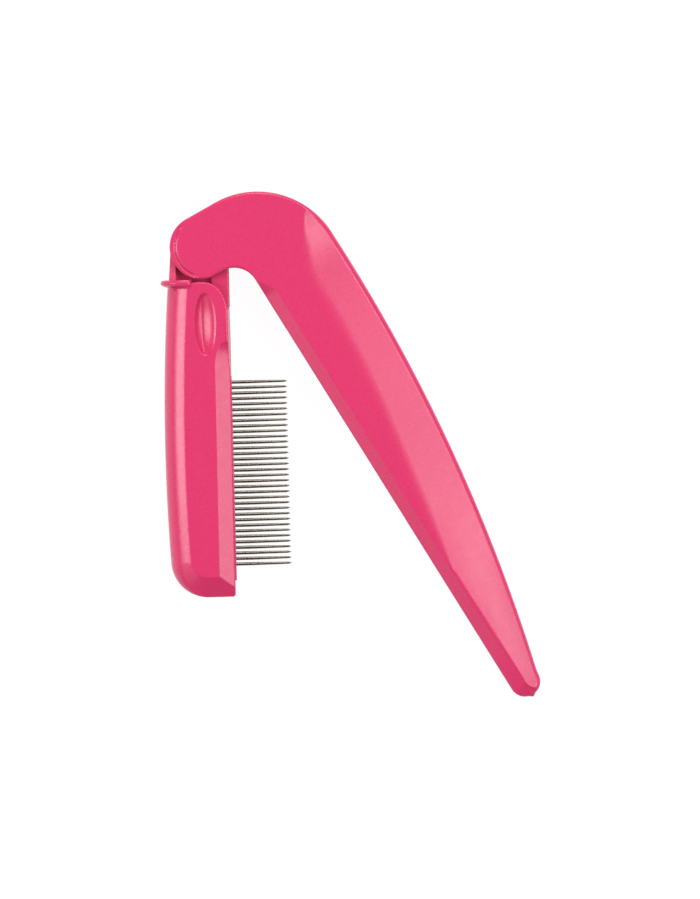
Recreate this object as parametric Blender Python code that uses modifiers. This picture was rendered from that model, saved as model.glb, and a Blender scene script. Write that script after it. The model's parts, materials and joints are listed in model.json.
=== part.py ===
"""Folding eyelash comb: a moulded handle, a comb head that folds into it, and steel needles.

Metres, +Z up. The comb lies on its side, half open. The origin is on the hinge axis, on the
surface that the comb lies on. The handle and the head are each modelled in a frame of their
own: x runs from the hinge along the piece, y across it, and z = 0 is the middle of its
thickness. In the handle's frame y points to the outer edge, in the head's to the needles.
"""

import math

import bmesh
import bpy
from mathutils import Vector

MM = 0.001

# Pose and thickness
MID_HEIGHT = 4.5 * MM
HANDLE_TURN = math.radians(-57.95)
HEAD_TURN = math.radians(-88.5)

# Handle: outline
HANDLE_FACE = 4.5 * MM
END_RADIUS = 5.13 * MM
NECK_LOWER = 4.95 * MM
INNER_LINE = 4.53 * MM
FILLET_RADIUS = 4.0 * MM
FILLET_CENTRE = (9.0 * MM, INNER_LINE - FILLET_RADIUS)
ELBOW_RADIUS = 14.11 * MM
ELBOW_CENTRE = (9.19 * MM, 4.8 * MM)
BACK_RADIUS = 273.0 * MM
BACK_START = 14.06 * MM
BACK_HEIGHT = 18.94 * MM
TIP_RADIUS = 2.45 * MM
TIP_CENTRE = (86.35 * MM, INNER_LINE + TIP_RADIUS)
TIP_NUB = 0.3 * MM

# Handle: edges and facets
NECK_ROUND = 0.4 * MM
CHAMFER_WIDTH = 2.1 * MM
CHAMFER_DROP = 1.2 * MM
CHAMFER_START = 9.0 * MM
CHAMFER_FULL = 12.6 * MM
RIM_ROUND = 0.25 * MM
BACK_ROUND = 1.0 * MM
RIDGE_START = 65.0 * MM
RIDGE_HEIGHT_END = 2.7 * MM
TIP_FACET_REACH = 1.95 * MM
TIP_FACET_SLOPE = 0.4
ELBOW_CREASE_SLOPE = -0.5

# Plan of the crease between the flat face and the outer facet
FACET_CREASE = (
    # along, across
    (11.0 * MM, 13.2 * MM),
    (14.0 * MM, 12.35 * MM),
    (20.0 * MM, 12.25 * MM),
    (27.0 * MM, 11.9 * MM),
    (35.0 * MM, 11.1 * MM),
    (45.0 * MM, 9.6 * MM),
    (55.0 * MM, 8.1 * MM),
    (RIDGE_START, INNER_LINE + CHAMFER_WIDTH),
)

# Height of the outer facet's lower edge, for stations along the arm
FACET_EDGE = (
    # along, height
    (8.0 * MM, 3.45 * MM),
    (14.0 * MM, 3.5 * MM),
    (40.0 * MM, 3.15 * MM),
    (61.5 * MM, 2.75 * MM),
    (75.0 * MM, 2.30 * MM),
    (87.0 * MM, 1.70 * MM),
)

# Share of the outer facet's fall that comes from its crown, for stations along the arm
FACET_CROWN = (
    # along, share
    (55.0 * MM, 0.0),
    (65.0 * MM, 0.25),
    (75.0 * MM, 0.35),
    (87.0 * MM, 0.3),
)

# Handle: what is cut from it
FORK_RADIUS = 8.6 * MM
FORK_GAP = 6.0 * MM
SLOT_START = 18.6 * MM
SLOT_END = 54.4 * MM
SLOT_DEPTH = 9.35 * MM
SLOT_WIDTH = 5.0 * MM
LEDGE_DEPTH = 0.3 * MM
LEDGE_RADIUS = 4.96 * MM
LEDGE_CENTRE = (0.25 * MM, 0.56 * MM)
LEDGE_REACH = 0.4 * MM

# Pin
PIN_RADIUS = 1.25 * MM
PIN_HALF_LENGTH = 3.7 * MM
PIN_BORE_RADIUS = 1.4 * MM
PIN_BORE_HALF = 3.9 * MM

# Head: body
HEAD_FACE = 4.0 * MM
SPINE_RADIUS = 325.0 * MM
SPINE_MIDDLE = (32.5 * MM, -6.65 * MM)
SPINE_INSET = 3.25 * MM
SPINE_SWEEP = math.radians(68.0)
BODY_TOP = 5.55 * MM
CORNER_RADIUS = 5.9 * MM
CORNER_CENTRE = (50.15 * MM, -0.25 * MM)
HEAD_END = CORNER_CENTRE[0] + CORNER_RADIUS
TOE_RADIUS = 0.4 * MM
TOE_SLOPE = 0.64
TOE_CREASE = 52.75 * MM
EDGE_TOP = 4.32 * MM
EDGE_END = 4.04 * MM
EDGE_DRAFT = 0.36 * MM
EDGE_CHAMFER_WIDTH = 2.55 * MM
EDGE_CHAMFER_RIM = 3.0 * MM
EDGE_CHAMFER_FULL = 19.2 * MM
EDGE_CHAMFER_START = 15.2 * MM
ARCH_CENTRE = (11.5 * MM, -0.8 * MM)
ARCH_HALF_LENGTH = 6.0 * MM
ARCH_HALF_WIDTH = 4.68 * MM
ARCH_POWER = 0.8
SMALL_ROUND = 0.3 * MM

# Head: web, rib, dimples and groove
WEB_FACE = 2.9 * MM
WEB_ROUND = 0.3 * MM
KNUCKLE_RADIUS = 4.95 * MM
WALL_TOP = (0.95 * MM, -5.05 * MM)
WALL_FOOT = (5.9 * MM, -5.42 * MM)
WALL_INNER = -4.22 * MM
PLATE_INNER = 1.45 * MM
POCKET_FLOOR = 1.8 * MM
RIB_START = 5.2 * MM
RIB_OUTER = -6.7 * MM
RIB_INNER = -1.8 * MM
RIB_HALF_HEIGHT = 4.5 * MM
RIB_CORNER = 3.2 * MM
RIB_END = 0.7 * MM
RIB_SPLAY = 0.35 * MM
DIMPLE_CENTRE = (12.3 * MM, 0.4 * MM)
DIMPLE_HALF_LENGTH = 4.85 * MM
DIMPLE_HALF_WIDTH = 1.76 * MM
DIMPLE_DEPTH = 0.9 * MM
DIMPLE_LIFT = 0.5 * MM
DIMPLE_LEAN = 0.26

# Section of the thumb rib: a rounded bead whose far side sinks into the body in a hollow curve
RIB_SECTION = (
    # along, share of the way down to the body
    (0.0, 0.4),
    (0.08 * MM, 0.15),
    (0.35 * MM, 0.0),
    (0.6 * MM, 0.0),
    (0.85 * MM, 0.12),
    (1.0 * MM, 0.35),
    (1.12 * MM, 0.6),
    (1.3 * MM, 0.85),
    (1.65 * MM, 1.1),
)

# Tooth bar and needles
BAR_START = 20.6 * MM
BAR_END = 53.5 * MM
BAR_FACE = 4.32 * MM
BAR_DEPTH = 2.0 * MM
BAR_HALF_HEIGHT = 1.3 * MM
BAR_CLEARANCE = 0.1 * MM
NEEDLE_COUNT = 34
NEEDLE_FIRST = 21.75 * MM
NEEDLE_PITCH = 0.882 * MM
NEEDLE_ROOT = 3.0 * MM
NEEDLE_TIP = 13.1 * MM
NEEDLE_RADIUS = 0.265 * MM
NEEDLE_HOLE = 0.3 * MM
NEEDLE_SIDES = 10

# Distance from the needle's tip and radius there
NEEDLE_TAPER = (
    # back from the tip, radius
    (0.0, 0.05 * MM),
    (0.25 * MM, 0.11 * MM),
    (3.2 * MM, 0.23 * MM),
    (5.5 * MM, NEEDLE_RADIUS),
)

PINK = (0.80, 0.060, 0.170, 1.0)
STEEL = (0.45, 0.42, 0.40, 1.0)

ROUND_STEPS = 4


def clear_scene():
    """Remove every object that the scene starts with."""
    for item in list(bpy.data.objects):
        bpy.data.objects.remove(item, do_unlink=True)


def new_collection(name):
    """Return a new collection linked to the scene."""
    group = bpy.data.collections.new(name)
    bpy.context.scene.collection.children.link(group)
    return group


def new_material(name, colour, roughness, metallic):
    """Return a Principled material."""
    material = bpy.data.materials.new(name)
    material.use_nodes = True
    shader = material.node_tree.nodes["Principled BSDF"]
    shader.inputs["Base Color"].default_value = colour
    shader.inputs["Roughness"].default_value = roughness
    shader.inputs["Metallic"].default_value = metallic
    return material


def new_object(name, mesh, group, material=None, turn=0.0):
    """Return an object at mid-thickness on the hinge axis, turned about it."""
    item = bpy.data.objects.new(name, mesh)
    item.location = (0.0, 0.0, MID_HEIGHT)
    item.rotation_euler = (0.0, 0.0, turn)
    group.objects.link(item)
    if material is not None:
        mesh.materials.clear()
        mesh.materials.append(material)
    return item


def new_cutter(name, mesh, group, turn):
    """Return a cutter object, which is shown as wire and not rendered."""
    item = new_object(name, mesh, group, turn=turn)
    item.hide_render = True
    item.display_type = "WIRE"
    return item


def boolean(item, other, operation):
    """Add an exact Boolean of the given operation with another object."""
    modifier = item.modifiers.new(f"{operation.lower()} {other.name}", "BOOLEAN")
    modifier.solver = "EXACT"
    modifier.operation = operation
    modifier.object = other


def mirror_thickness(item):
    """Mirror a half that is open at the middle of the thickness."""
    modifier = item.modifiers.new("both halves", "MIRROR")
    modifier.use_axis = (False, False, True)
    modifier.use_clip = True
    modifier.merge_threshold = 0.000005


def mesh_from(bm, name):
    """Return a mesh made from a bmesh, which is freed."""
    mesh = bpy.data.meshes.new(name)
    bm.to_mesh(mesh)
    bm.free()
    return mesh


def smooth(mesh, degrees=35.0):
    """Shade a mesh smooth but for its sharp edges."""
    mesh.shade_smooth()
    mesh.set_sharp_from_angle(angle=math.radians(degrees))


def box_mesh(name, low, high):
    """Return a box between two corners."""
    bm = bmesh.new()
    bmesh.ops.create_cube(bm, size=1.0)
    size = Vector(high) - Vector(low)
    centre = (Vector(high) + Vector(low)) / 2
    bmesh.ops.scale(bm, vec=size, verts=bm.verts)
    bmesh.ops.translate(bm, vec=centre, verts=bm.verts)
    return mesh_from(bm, name)


def cylinder_mesh(name, radius, half_length, sides):
    """Return a cylinder along z, centred on the origin."""
    bm = bmesh.new()
    bmesh.ops.create_cone(
        bm, cap_ends=True, segments=sides, radius1=radius, radius2=radius, depth=2 * half_length
    )
    return mesh_from(bm, name)


def flat_mesh(name, outline, low, high, rounding=0.0):
    """Return a flat solid: a closed outline in x and y, from height low to height high."""
    curve = bpy.data.curves.new(name, "CURVE")
    curve.dimensions = "2D"
    curve.fill_mode = "BOTH"
    curve.extrude = (high - low) / 2 - rounding
    curve.bevel_depth = rounding
    curve.bevel_resolution = 1
    curve.offset = -rounding
    spline = curve.splines.new("POLY")
    spline.points.add(len(outline) - 1)
    for point, (x, y) in zip(spline.points, outline):
        point.co = (x, y, 0.0, 1.0)
    spline.use_cyclic_u = True
    guide = bpy.data.objects.new(name, curve)
    bpy.context.scene.collection.objects.link(guide)
    evaluated = guide.evaluated_get(bpy.context.evaluated_depsgraph_get())
    mesh = bpy.data.meshes.new_from_object(evaluated)
    bpy.data.objects.remove(guide, do_unlink=True)
    bpy.data.curves.remove(curve)
    bm = bmesh.new()
    bm.from_mesh(mesh)
    bmesh.ops.remove_doubles(bm, verts=bm.verts, dist=0.000001)
    bmesh.ops.recalc_face_normals(bm, faces=bm.faces)
    bmesh.ops.translate(bm, vec=(0.0, 0.0, (high + low) / 2), verts=bm.verts)
    bm.to_mesh(mesh)
    bm.free()
    mesh.name = name
    return mesh


def lerp(a, b, t):
    """Return the value a share t of the way from a to b."""
    return a + (b - a) * t


def ease(t):
    """Return a smooth step for t, held between 0 and 1."""
    t = min(max(t, 0.0), 1.0)
    return t * t * (3 - 2 * t)


def read_table(table, x):
    """Return the value at x in a table of rising (x, value) rows, with straight steps."""
    for (x0, y0), (x1, y1) in zip(table, table[1:]):
        if x <= x1:
            return lerp(y0, y1, max(0.0, (x - x0) / (x1 - x0)))
    return table[-1][1]


def arc(centre, radius, start, end, steps):
    """Return points on an arc, from one angle to another in degrees."""
    points = []
    for i in range(steps + 1):
        angle = math.radians(lerp(start, end, i / steps))
        x = centre[0] + radius * math.cos(angle)
        y = centre[1] + radius * math.sin(angle)
        points.append((x, y))
    return points


def edge_profile(width, rim, face, radius, crown=0.0, draft=0.0):
    """Return rows (inset, height) from the parting line to the flat face.

    The side leans inwards by the draft as it rises to the rim. It turns through a rounded edge
    of the given radius and climbs a facet to the face, at the full width. The crown is the
    share of the facet's fall that comes from its bulge, 0 where the facet is flat.
    """

    def facet_height(inset):
        t = (width - inset) / (width - draft)
        return face - (face - rim) * ((1 - crown) * t + crown * t * t)

    rows = [(0.0, 0.0)]
    for i in range(ROUND_STEPS + 1):
        angle = math.pi / 2 * i / ROUND_STEPS
        inset = draft + radius * (1 - math.cos(angle))
        rows.append((inset, facet_height(inset) - radius * (1 - math.sin(angle))))
    middle = (draft + radius + width) / 2
    rows.append((middle, facet_height(middle)))
    rows.append((width, face))
    return rows


def place_rows(edge, crease, rows):
    """Return section points: rows of inset and height, laid from the outline to the crease."""
    direction = (Vector(crease) - Vector(edge)).normalized()
    points = []
    for inset, height in rows:
        point = Vector(edge) + direction * inset
        points.append((point.x, point.y, height))
    return points


def station(edge, crease, rim, face, radius, crown=0.0, draft=0.0):
    """Return the points of one section, from the outline to the crease of the flat face."""
    width = (Vector(crease) - Vector(edge)).length
    radius = min(radius, (width - draft) * 0.8, rim * 0.95)
    return place_rows(edge, crease, edge_profile(width, rim, face, radius, crown, draft))


def blend_stations(first, second, t):
    """Return the section a share t of the way from one section to another."""
    return [tuple(lerp(a, b, t) for a, b in zip(p, q)) for p, q in zip(first, second)]


def half_shell(name, sections):
    """Loft sections, listed counterclockwise round an outline, and close the flat face.

    Sections whose creases coincide share that vertex, so two facets may meet in a ridge. The
    half is left open at z = 0.
    """
    bm = bmesh.new()
    known = {}

    def vertex(point):
        key = tuple(round(value * 1e7) for value in point)
        if key not in known:
            known[key] = bm.verts.new(point)
        return known[key]

    def face(corners):
        ring = [v for i, v in enumerate(corners) if v is not corners[i - 1]]
        if len(ring) > 2:
            bm.faces.new(ring)

    grid = [[vertex(point) for point in section] for section in sections]
    for left, right in zip(grid, grid[1:] + grid[:1]):
        for j in range(len(left) - 1):
            face([left[j], right[j], right[j + 1], left[j + 1]])
    rim = [e for e in bm.edges if e.is_boundary and min(v.co.z for v in e.verts) > 0]
    bmesh.ops.edgeloop_fill(bm, edges=rim)
    bmesh.ops.recalc_face_normals(bm, faces=bm.faces)
    return mesh_from(bm, name)


def back_height(x):
    """Return y on the handle's outer edge, a long shallow arc."""
    return BACK_HEIGHT - (x - BACK_START) ** 2 / (2 * BACK_RADIUS)


def ridge_point(x):
    """Return (y, height) of the ridge in which the two facets meet near the tip."""
    t = (x - RIDGE_START) / (TIP_CENTRE[0] - RIDGE_START)
    y = lerp(INNER_LINE + CHAMFER_WIDTH, TIP_CENTRE[1], t ** 1.6)
    height = lerp(HANDLE_FACE, RIDGE_HEIGHT_END, t ** 1.35)
    return y, height


def facet_crease(x):
    """Return y on the crease of the outer facet."""
    start, across = FACET_CREASE[0]
    if x < start:
        return across + ELBOW_CREASE_SLOPE * (x - start)
    return read_table(FACET_CREASE, x)


def inner_station(x):
    """Return the section of the handle at its inner edge."""
    edge = (x, INNER_LINE)
    if x > RIDGE_START:
        y, height = ridge_point(x)
        return station(edge, (x, y), height - CHAMFER_DROP * height / HANDLE_FACE, height, RIM_ROUND)
    grown = ease((x - CHAMFER_START) / (CHAMFER_FULL - CHAMFER_START))
    width = lerp(NECK_ROUND * 1.5, CHAMFER_WIDTH, grown)
    rim = HANDLE_FACE - CHAMFER_DROP * grown
    radius = lerp(NECK_ROUND, RIM_ROUND, grown)
    return station(edge, (x, INNER_LINE + width), rim, HANDLE_FACE, radius)


def outer_station(x):
    """Return the section of the handle at its outer edge, along the arm."""
    edge = (x, back_height(x))
    rim = read_table(FACET_EDGE, x)
    crown = read_table(FACET_CROWN, x)
    if x > RIDGE_START:
        y, height = ridge_point(x)
        return station(edge, (x, y), rim, height, BACK_ROUND, crown)
    return station(edge, (x, facet_crease(x)), rim, HANDLE_FACE, BACK_ROUND, crown)


def tip_crease(t):
    """Return the crease of the end bevel, a share t of the way round the tip, and its height.

    The crease leaves the ridge's end, bulges towards the tip and comes back, and what it
    encloses is the end of the outer facet.
    """
    angle = math.radians(lerp(-88.0, 76.0, t))
    reach = TIP_FACET_REACH * ease(angle / math.radians(30.0)) * ease((1.0 - t) / 0.15)
    x = TIP_CENTRE[0] + reach * math.cos(angle)
    y = TIP_CENTRE[1] + reach * math.sin(angle)
    fall = 0.1 * reach * math.cos(angle) + TIP_FACET_SLOPE * reach * math.sin(angle)
    return (x, y), RIDGE_HEIGHT_END - fall


def tip_stations():
    """Return the sections round the tip, with the stub of the mould's gate."""
    sections = []
    steps = 10
    for i, edge in enumerate(arc(TIP_CENTRE, TIP_RADIUS, -88.0, 76.0, steps)):
        t = i / steps
        rim = lerp(RIDGE_HEIGHT_END - 0.75 * MM, read_table(FACET_EDGE, edge[0]), t)
        if i == 5:
            edge = (edge[0] + TIP_NUB, edge[1])
        crease, height = tip_crease(t)
        sections.append(station(edge, crease, rim, height, lerp(RIM_ROUND, 0.7 * MM, t)))
    return sections


def elbow_stations():
    """Return the sections round the elbow, where the outer facet runs out."""
    sections = []
    steps = 12
    for i, edge in enumerate(arc(ELBOW_CENTRE, ELBOW_RADIUS, 90.0, 180.0, steps)):
        outward = (Vector(edge) - Vector(ELBOW_CENTRE)).normalized()
        start = facet_crease(ELBOW_CENTRE[0]) - ELBOW_CENTRE[1]
        reach = start / max(outward.y - ELBOW_CREASE_SLOPE * outward.x, start / ELBOW_RADIUS)
        width = ELBOW_RADIUS - reach
        facet = ease((width - 2 * NECK_ROUND) / (3.0 * MM))
        width = max(width, 2 * NECK_ROUND)
        crease = Vector(edge) - outward * width
        rim = lerp(HANDLE_FACE, read_table(FACET_EDGE, ELBOW_CENTRE[0]), facet)
        crown = facet * read_table(FACET_CROWN, ELBOW_CENTRE[0])
        radius = lerp(NECK_ROUND, BACK_ROUND, facet)
        sections.append(station(edge, crease, rim, HANDLE_FACE, radius, crown))
    return sections


def neck_stations():
    """Return the sections of the neck and the round end, which have a plain rounded edge."""
    sections = []
    lower_angle = 360.0 - math.degrees(math.acos(NECK_LOWER / END_RADIUS))
    inset = 2 * NECK_ROUND
    for edge in arc((0.0, 0.0), END_RADIUS, 180.0, lower_angle, 22):
        inward = -Vector(edge).normalized()
        crease = Vector(edge) + inward * inset
        sections.append(station(edge, crease, HANDLE_FACE, HANDLE_FACE, NECK_ROUND))
    for edge in arc(FILLET_CENTRE, FILLET_RADIUS, 180.0, 96.0, 7):
        inward = (Vector(edge) - Vector(FILLET_CENTRE)).normalized()
        crease = Vector(edge) + inward * inset
        sections.append(station(edge, crease, HANDLE_FACE, HANDLE_FACE, NECK_ROUND))
    return sections


def handle_sections():
    """Return all sections of the handle, counterclockwise."""
    arm = [CHAMFER_START + (CHAMFER_FULL - CHAMFER_START) * i / 4 for i in range(4)]
    arm += [lerp(CHAMFER_FULL, RIDGE_START, i / 8) for i in range(9)]
    ridge = [lerp(RIDGE_START, TIP_CENTRE[0], i / 6) for i in range(1, 6)]
    sections = [inner_station(x) for x in arm + ridge]
    sections += tip_stations()
    sections += [outer_station(x) for x in reversed(arm[3:] + ridge)]
    sections += elbow_stations()
    sections += neck_stations()
    return sections


def ledge_outline():
    """Return the plan of the crescent ledge, from the arc on the cheek to past the outline."""
    inner = arc(LEDGE_CENTRE, LEDGE_RADIUS, 182.0, 318.0, 24)
    outer = arc((0.0, 0.0), END_RADIUS * 1.3, 318.0, 176.5, 24)
    return inner + outer


def make_handle(parts, cutters, material):
    """Make the handle, forked at the hinge and slotted along its inner edge."""
    mesh = half_shell("handle", handle_sections())
    handle = new_object("handle", mesh, parts, material, HANDLE_TURN)
    mirror_thickness(handle)
    fork = new_cutter(
        "fork_gap",
        cylinder_mesh("fork_gap", FORK_RADIUS, FORK_GAP / 2, 64),
        cutters,
        HANDLE_TURN,
    )
    slot = new_cutter(
        "needle_slot",
        box_mesh(
            "needle_slot",
            (SLOT_START, 0.0, -SLOT_WIDTH / 2),
            (SLOT_END, INNER_LINE + SLOT_DEPTH, SLOT_WIDTH / 2),
        ),
        cutters,
        HANDLE_TURN,
    )
    bore = new_cutter(
        "handle_pin_bore",
        cylinder_mesh("handle_pin_bore", PIN_BORE_RADIUS, PIN_BORE_HALF, 24),
        cutters,
        HANDLE_TURN,
    )
    for item in (fork, slot, bore):
        boolean(handle, item, "DIFFERENCE")
    floor = HANDLE_FACE - LEDGE_DEPTH
    above = HANDLE_FACE + 1.0 * MM
    for side, (low, high) in (("front", (floor, above)), ("rear", (-above, -floor))):
        name = f"ledge_{side}"
        ledge = new_cutter(name, flat_mesh(name, ledge_outline(), low, high), cutters, HANDLE_TURN)
        boolean(handle, ledge, "DIFFERENCE")
    smooth(mesh)
    return handle


def make_pin(parts, material):
    """Make the hidden pin of the hinge."""
    mesh = cylinder_mesh("hinge_pin", PIN_RADIUS, PIN_HALF_LENGTH, 24)
    smooth(mesh)
    return new_object("hinge_pin", mesh, parts, material)


def spine_point(x):
    """Return the point of the head's convex back edge at x."""
    rise = (x - SPINE_MIDDLE[0]) ** 2 / (2 * SPINE_RADIUS)
    return (x, SPINE_MIDDLE[1] + rise)


def edge_y(x):
    """Return y of the head's front edge at x."""
    return lerp(EDGE_TOP, EDGE_END, x / HEAD_END)


def head_station(edge, crease, rim, radius, draft=0.0):
    """Return a section of the head's body."""
    return station(edge, crease, rim, HEAD_FACE, radius, draft=draft)


def spine_profile(share):
    """Return (inset, height) on the rounded back edge, an arc that meets the face in a crease."""
    angle = SPINE_SWEEP * share
    inset = SPINE_INSET * (1 - math.cos(angle)) / (1 - math.cos(SPINE_SWEEP))
    return inset, HEAD_FACE * math.sin(angle) / math.sin(SPINE_SWEEP)


def spine_station(edge, crease):
    """Return a section with the rounded back edge, with as many points as any other."""
    steps = ROUND_STEPS + 3
    return place_rows(edge, crease, [spine_profile(i / steps) for i in range(steps + 1)])


def spine_stations():
    """Return the sections along the head's rounded back edge."""
    sections = []
    for i in range(8):
        x, y = spine_point(lerp(BODY_TOP, CORNER_CENTRE[0], i / 8))
        lean = 2 * SMALL_ROUND if i == 0 else 0.0
        sections.append(spine_station((x, y), (x + lean, y + SPINE_INSET)))
    return sections


def corner_stations():
    """Return the sections round the far corner, from the round back to the bevelled end."""
    sections = []
    steps = 9
    end_rim = HEAD_FACE - TOE_SLOPE * (HEAD_END - TOE_CREASE)
    for i, edge in enumerate(arc(CORNER_CENTRE, CORNER_RADIUS, -90.0, 0.0, steps)):
        inward = (Vector(CORNER_CENTRE) - Vector(edge)).normalized()
        toe_crease = Vector(edge) + inward * (HEAD_END - TOE_CREASE)
        rounded = spine_station(edge, Vector(edge) + inward * SPINE_INSET)
        bevelled = head_station(edge, toe_crease, end_rim, SMALL_ROUND)
        sections.append(blend_stations(rounded, bevelled, ease(i / steps)))
    return sections


def toe_stations():
    """Return the sections along the bevelled end and round the small corner."""
    sections = []
    end_rim = HEAD_FACE - TOE_SLOPE * (HEAD_END - TOE_CREASE)
    chamfer_crease = edge_y(TOE_CREASE) - EDGE_CHAMFER_WIDTH
    corner = (HEAD_END - TOE_RADIUS, edge_y(HEAD_END) - TOE_RADIUS)
    for i in range(1, 4):
        y = lerp(CORNER_CENTRE[1], corner[1], i / 4)
        crease = (TOE_CREASE, min(y, chamfer_crease))
        sections.append(head_station((HEAD_END, y), crease, end_rim, SMALL_ROUND))
    for i, edge in enumerate(arc(corner, TOE_RADIUS, 0.0, 90.0, 3)):
        rim = HEAD_FACE - TOE_SLOPE * (edge[0] - TOE_CREASE)
        crease = (TOE_CREASE, chamfer_crease)
        sections.append(head_station(edge, crease, rim, SMALL_ROUND, EDGE_DRAFT * i / 3))
    return sections


def front_stations():
    """Return the sections along the front edge, whose chamfer fades out near the hinge."""
    sections = []
    meet = TOE_CREASE + (HEAD_FACE - EDGE_CHAMFER_RIM) / TOE_SLOPE
    crease = (TOE_CREASE, edge_y(TOE_CREASE) - EDGE_CHAMFER_WIDTH)
    edge = (meet, edge_y(meet))
    sections.append(head_station(edge, crease, EDGE_CHAMFER_RIM, SMALL_ROUND, EDGE_DRAFT))
    along = [lerp(TOE_CREASE, EDGE_CHAMFER_FULL, i / 5) for i in range(6)]
    fade = [lerp(EDGE_CHAMFER_FULL, EDGE_CHAMFER_START, i / 5) for i in range(1, 6)]
    for x in along + fade:
        y = edge_y(x)
        t = (x - EDGE_CHAMFER_START) / (EDGE_CHAMFER_FULL - EDGE_CHAMFER_START)
        grown = math.sqrt(1 - (1 - min(max(t, 0.0), 1.0)) ** 2)
        width = lerp(EDGE_DRAFT + 2 * SMALL_ROUND, EDGE_CHAMFER_WIDTH, grown)
        rim = lerp(HEAD_FACE, EDGE_CHAMFER_RIM, grown)
        sections.append(head_station((x, y), (x, y - width), rim, SMALL_ROUND, EDGE_DRAFT))
    return sections


def arch_stations():
    """Return the sections over the body's arched top, where it faces the handle's round end."""
    sections = []
    steps = 12
    for i in range(steps + 1):
        angle = math.radians(lerp(8.0, 88.0, i / steps))
        across, along = math.cos(angle), math.sin(angle)
        outward = Vector(
            (
                -(along ** (2 - ARCH_POWER)) / ARCH_HALF_LENGTH,
                across ** (2 - ARCH_POWER) / ARCH_HALF_WIDTH,
            )
        ).normalized()
        x = ARCH_CENTRE[0] - ARCH_HALF_LENGTH * along ** ARCH_POWER
        y = ARCH_CENTRE[1] + ARCH_HALF_WIDTH * across ** ARCH_POWER
        draft = EDGE_DRAFT * (1 - ease(i / steps))
        edge = Vector((x, y)) + outward * draft
        crease = Vector((x, y)) - outward * 2 * SMALL_ROUND
        sections.append(head_station(edge, crease, HEAD_FACE, SMALL_ROUND, draft))
    edge = (BODY_TOP, RIB_INNER + 0.7 * MM)
    crease = (BODY_TOP + 2 * SMALL_ROUND, edge[1] - SMALL_ROUND)
    sections.append(head_station(edge, crease, HEAD_FACE, SMALL_ROUND))
    return sections


def body_mesh():
    """Return the half shell of the head's body."""
    sections = spine_stations() + corner_stations() + toe_stations()
    sections += front_stations() + arch_stations()
    return half_shell("comb_head", sections)


def web_outline():
    """Return the plan of the web: knuckle, front plate and back wall, open to the body."""
    front = edge_y(0.0) - 0.05 * MM
    foot = 10.4 * MM
    meet = math.degrees(math.asin(front / KNUCKLE_RADIUS))
    wall = math.degrees(math.atan2(WALL_TOP[1], 0.2 * MM))
    points = [WALL_TOP, WALL_FOOT, (foot, -3.0 * MM)]
    points += [(foot, front - 0.35 * MM), (foot - 0.8 * MM, front)]
    points += arc((0.0, 0.0), KNUCKLE_RADIUS, meet, 360.0 + wall, 30)
    return points


def pocket_outline():
    """Return the plan of the deep pocket between the back wall and the front plate."""
    start = math.degrees(math.atan2(math.sqrt(KNUCKLE_RADIUS ** 2 - PLATE_INNER ** 2), PLATE_INNER))
    end = math.degrees(math.asin(-WALL_INNER / KNUCKLE_RADIUS))
    knuckle = arc((0.0, 0.0), KNUCKLE_RADIUS, 90.0 - start, -end, 14)
    far = BODY_TOP + 1.2 * MM
    return knuckle + [(far, WALL_INNER), (far, PLATE_INNER)]


def make_web(cutters):
    """Make the web, which is then joined to the head's body."""
    mesh = flat_mesh("web", web_outline(), -WEB_FACE, WEB_FACE, WEB_ROUND)
    web = new_cutter("web", mesh, cutters, HEAD_TURN)
    above = WEB_FACE + 1.0 * MM
    for side, (low, high) in (("front", (POCKET_FLOOR, above)), ("rear", (-above, -POCKET_FLOOR))):
        name = f"pocket_{side}"
        pocket = new_cutter(name, flat_mesh(name, pocket_outline(), low, high), cutters, HEAD_TURN)
        boolean(web, pocket, "DIFFERENCE")
    bore = new_cutter(
        "web_pin_bore",
        cylinder_mesh("web_pin_bore", PIN_BORE_RADIUS, HANDLE_FACE, 24),
        cutters,
        HEAD_TURN,
    )
    boolean(web, bore, "DIFFERENCE")
    return web


def rib_outlines():
    """Return the front half of the rib's outline in y and z, and of the body's below it."""
    half = RIB_HALF_HEIGHT
    proud = arc((RIB_OUTER + RIB_CORNER, half - RIB_CORNER), RIB_CORNER, 180.0, 90.0, 6)
    flush = []
    for y, z in proud:
        angle = math.asin(z / half * math.sin(SPINE_SWEEP))
        inset, height = spine_profile(angle / SPINE_SWEEP)
        flush.append((spine_point(RIB_START)[1] + inset, height))
    end = arc((RIB_INNER - RIB_END, half - RIB_END), RIB_END, 90.0, 0.0, 3)
    flush += [(y + RIB_SPLAY, z - half + HEAD_FACE) for y, z in end]
    return proud + end, flush


def rib_mesh():
    """Return the thumb rib: a collar round the head's back, standing proud of both faces."""
    proud, flush = rib_outlines()
    bm = bmesh.new()
    rings = []
    for along, share in RIB_SECTION:
        half = [(lerp(a[0], b[0], share), lerp(a[1], b[1], share)) for a, b in zip(proud, flush)]
        outline = half + [(y, -z) for y, z in reversed(half)]
        rings.append([bm.verts.new((RIB_START + along, y, z)) for y, z in outline])
    for first, second in zip(rings, rings[1:]):
        for i in range(len(first)):
            bm.faces.new([first[i - 1], first[i], second[i], second[i - 1]])
    bm.faces.new(rings[0])
    bm.faces.new(rings[-1])
    bmesh.ops.recalc_face_normals(bm, faces=bm.faces)
    return mesh_from(bm, "rib")


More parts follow.
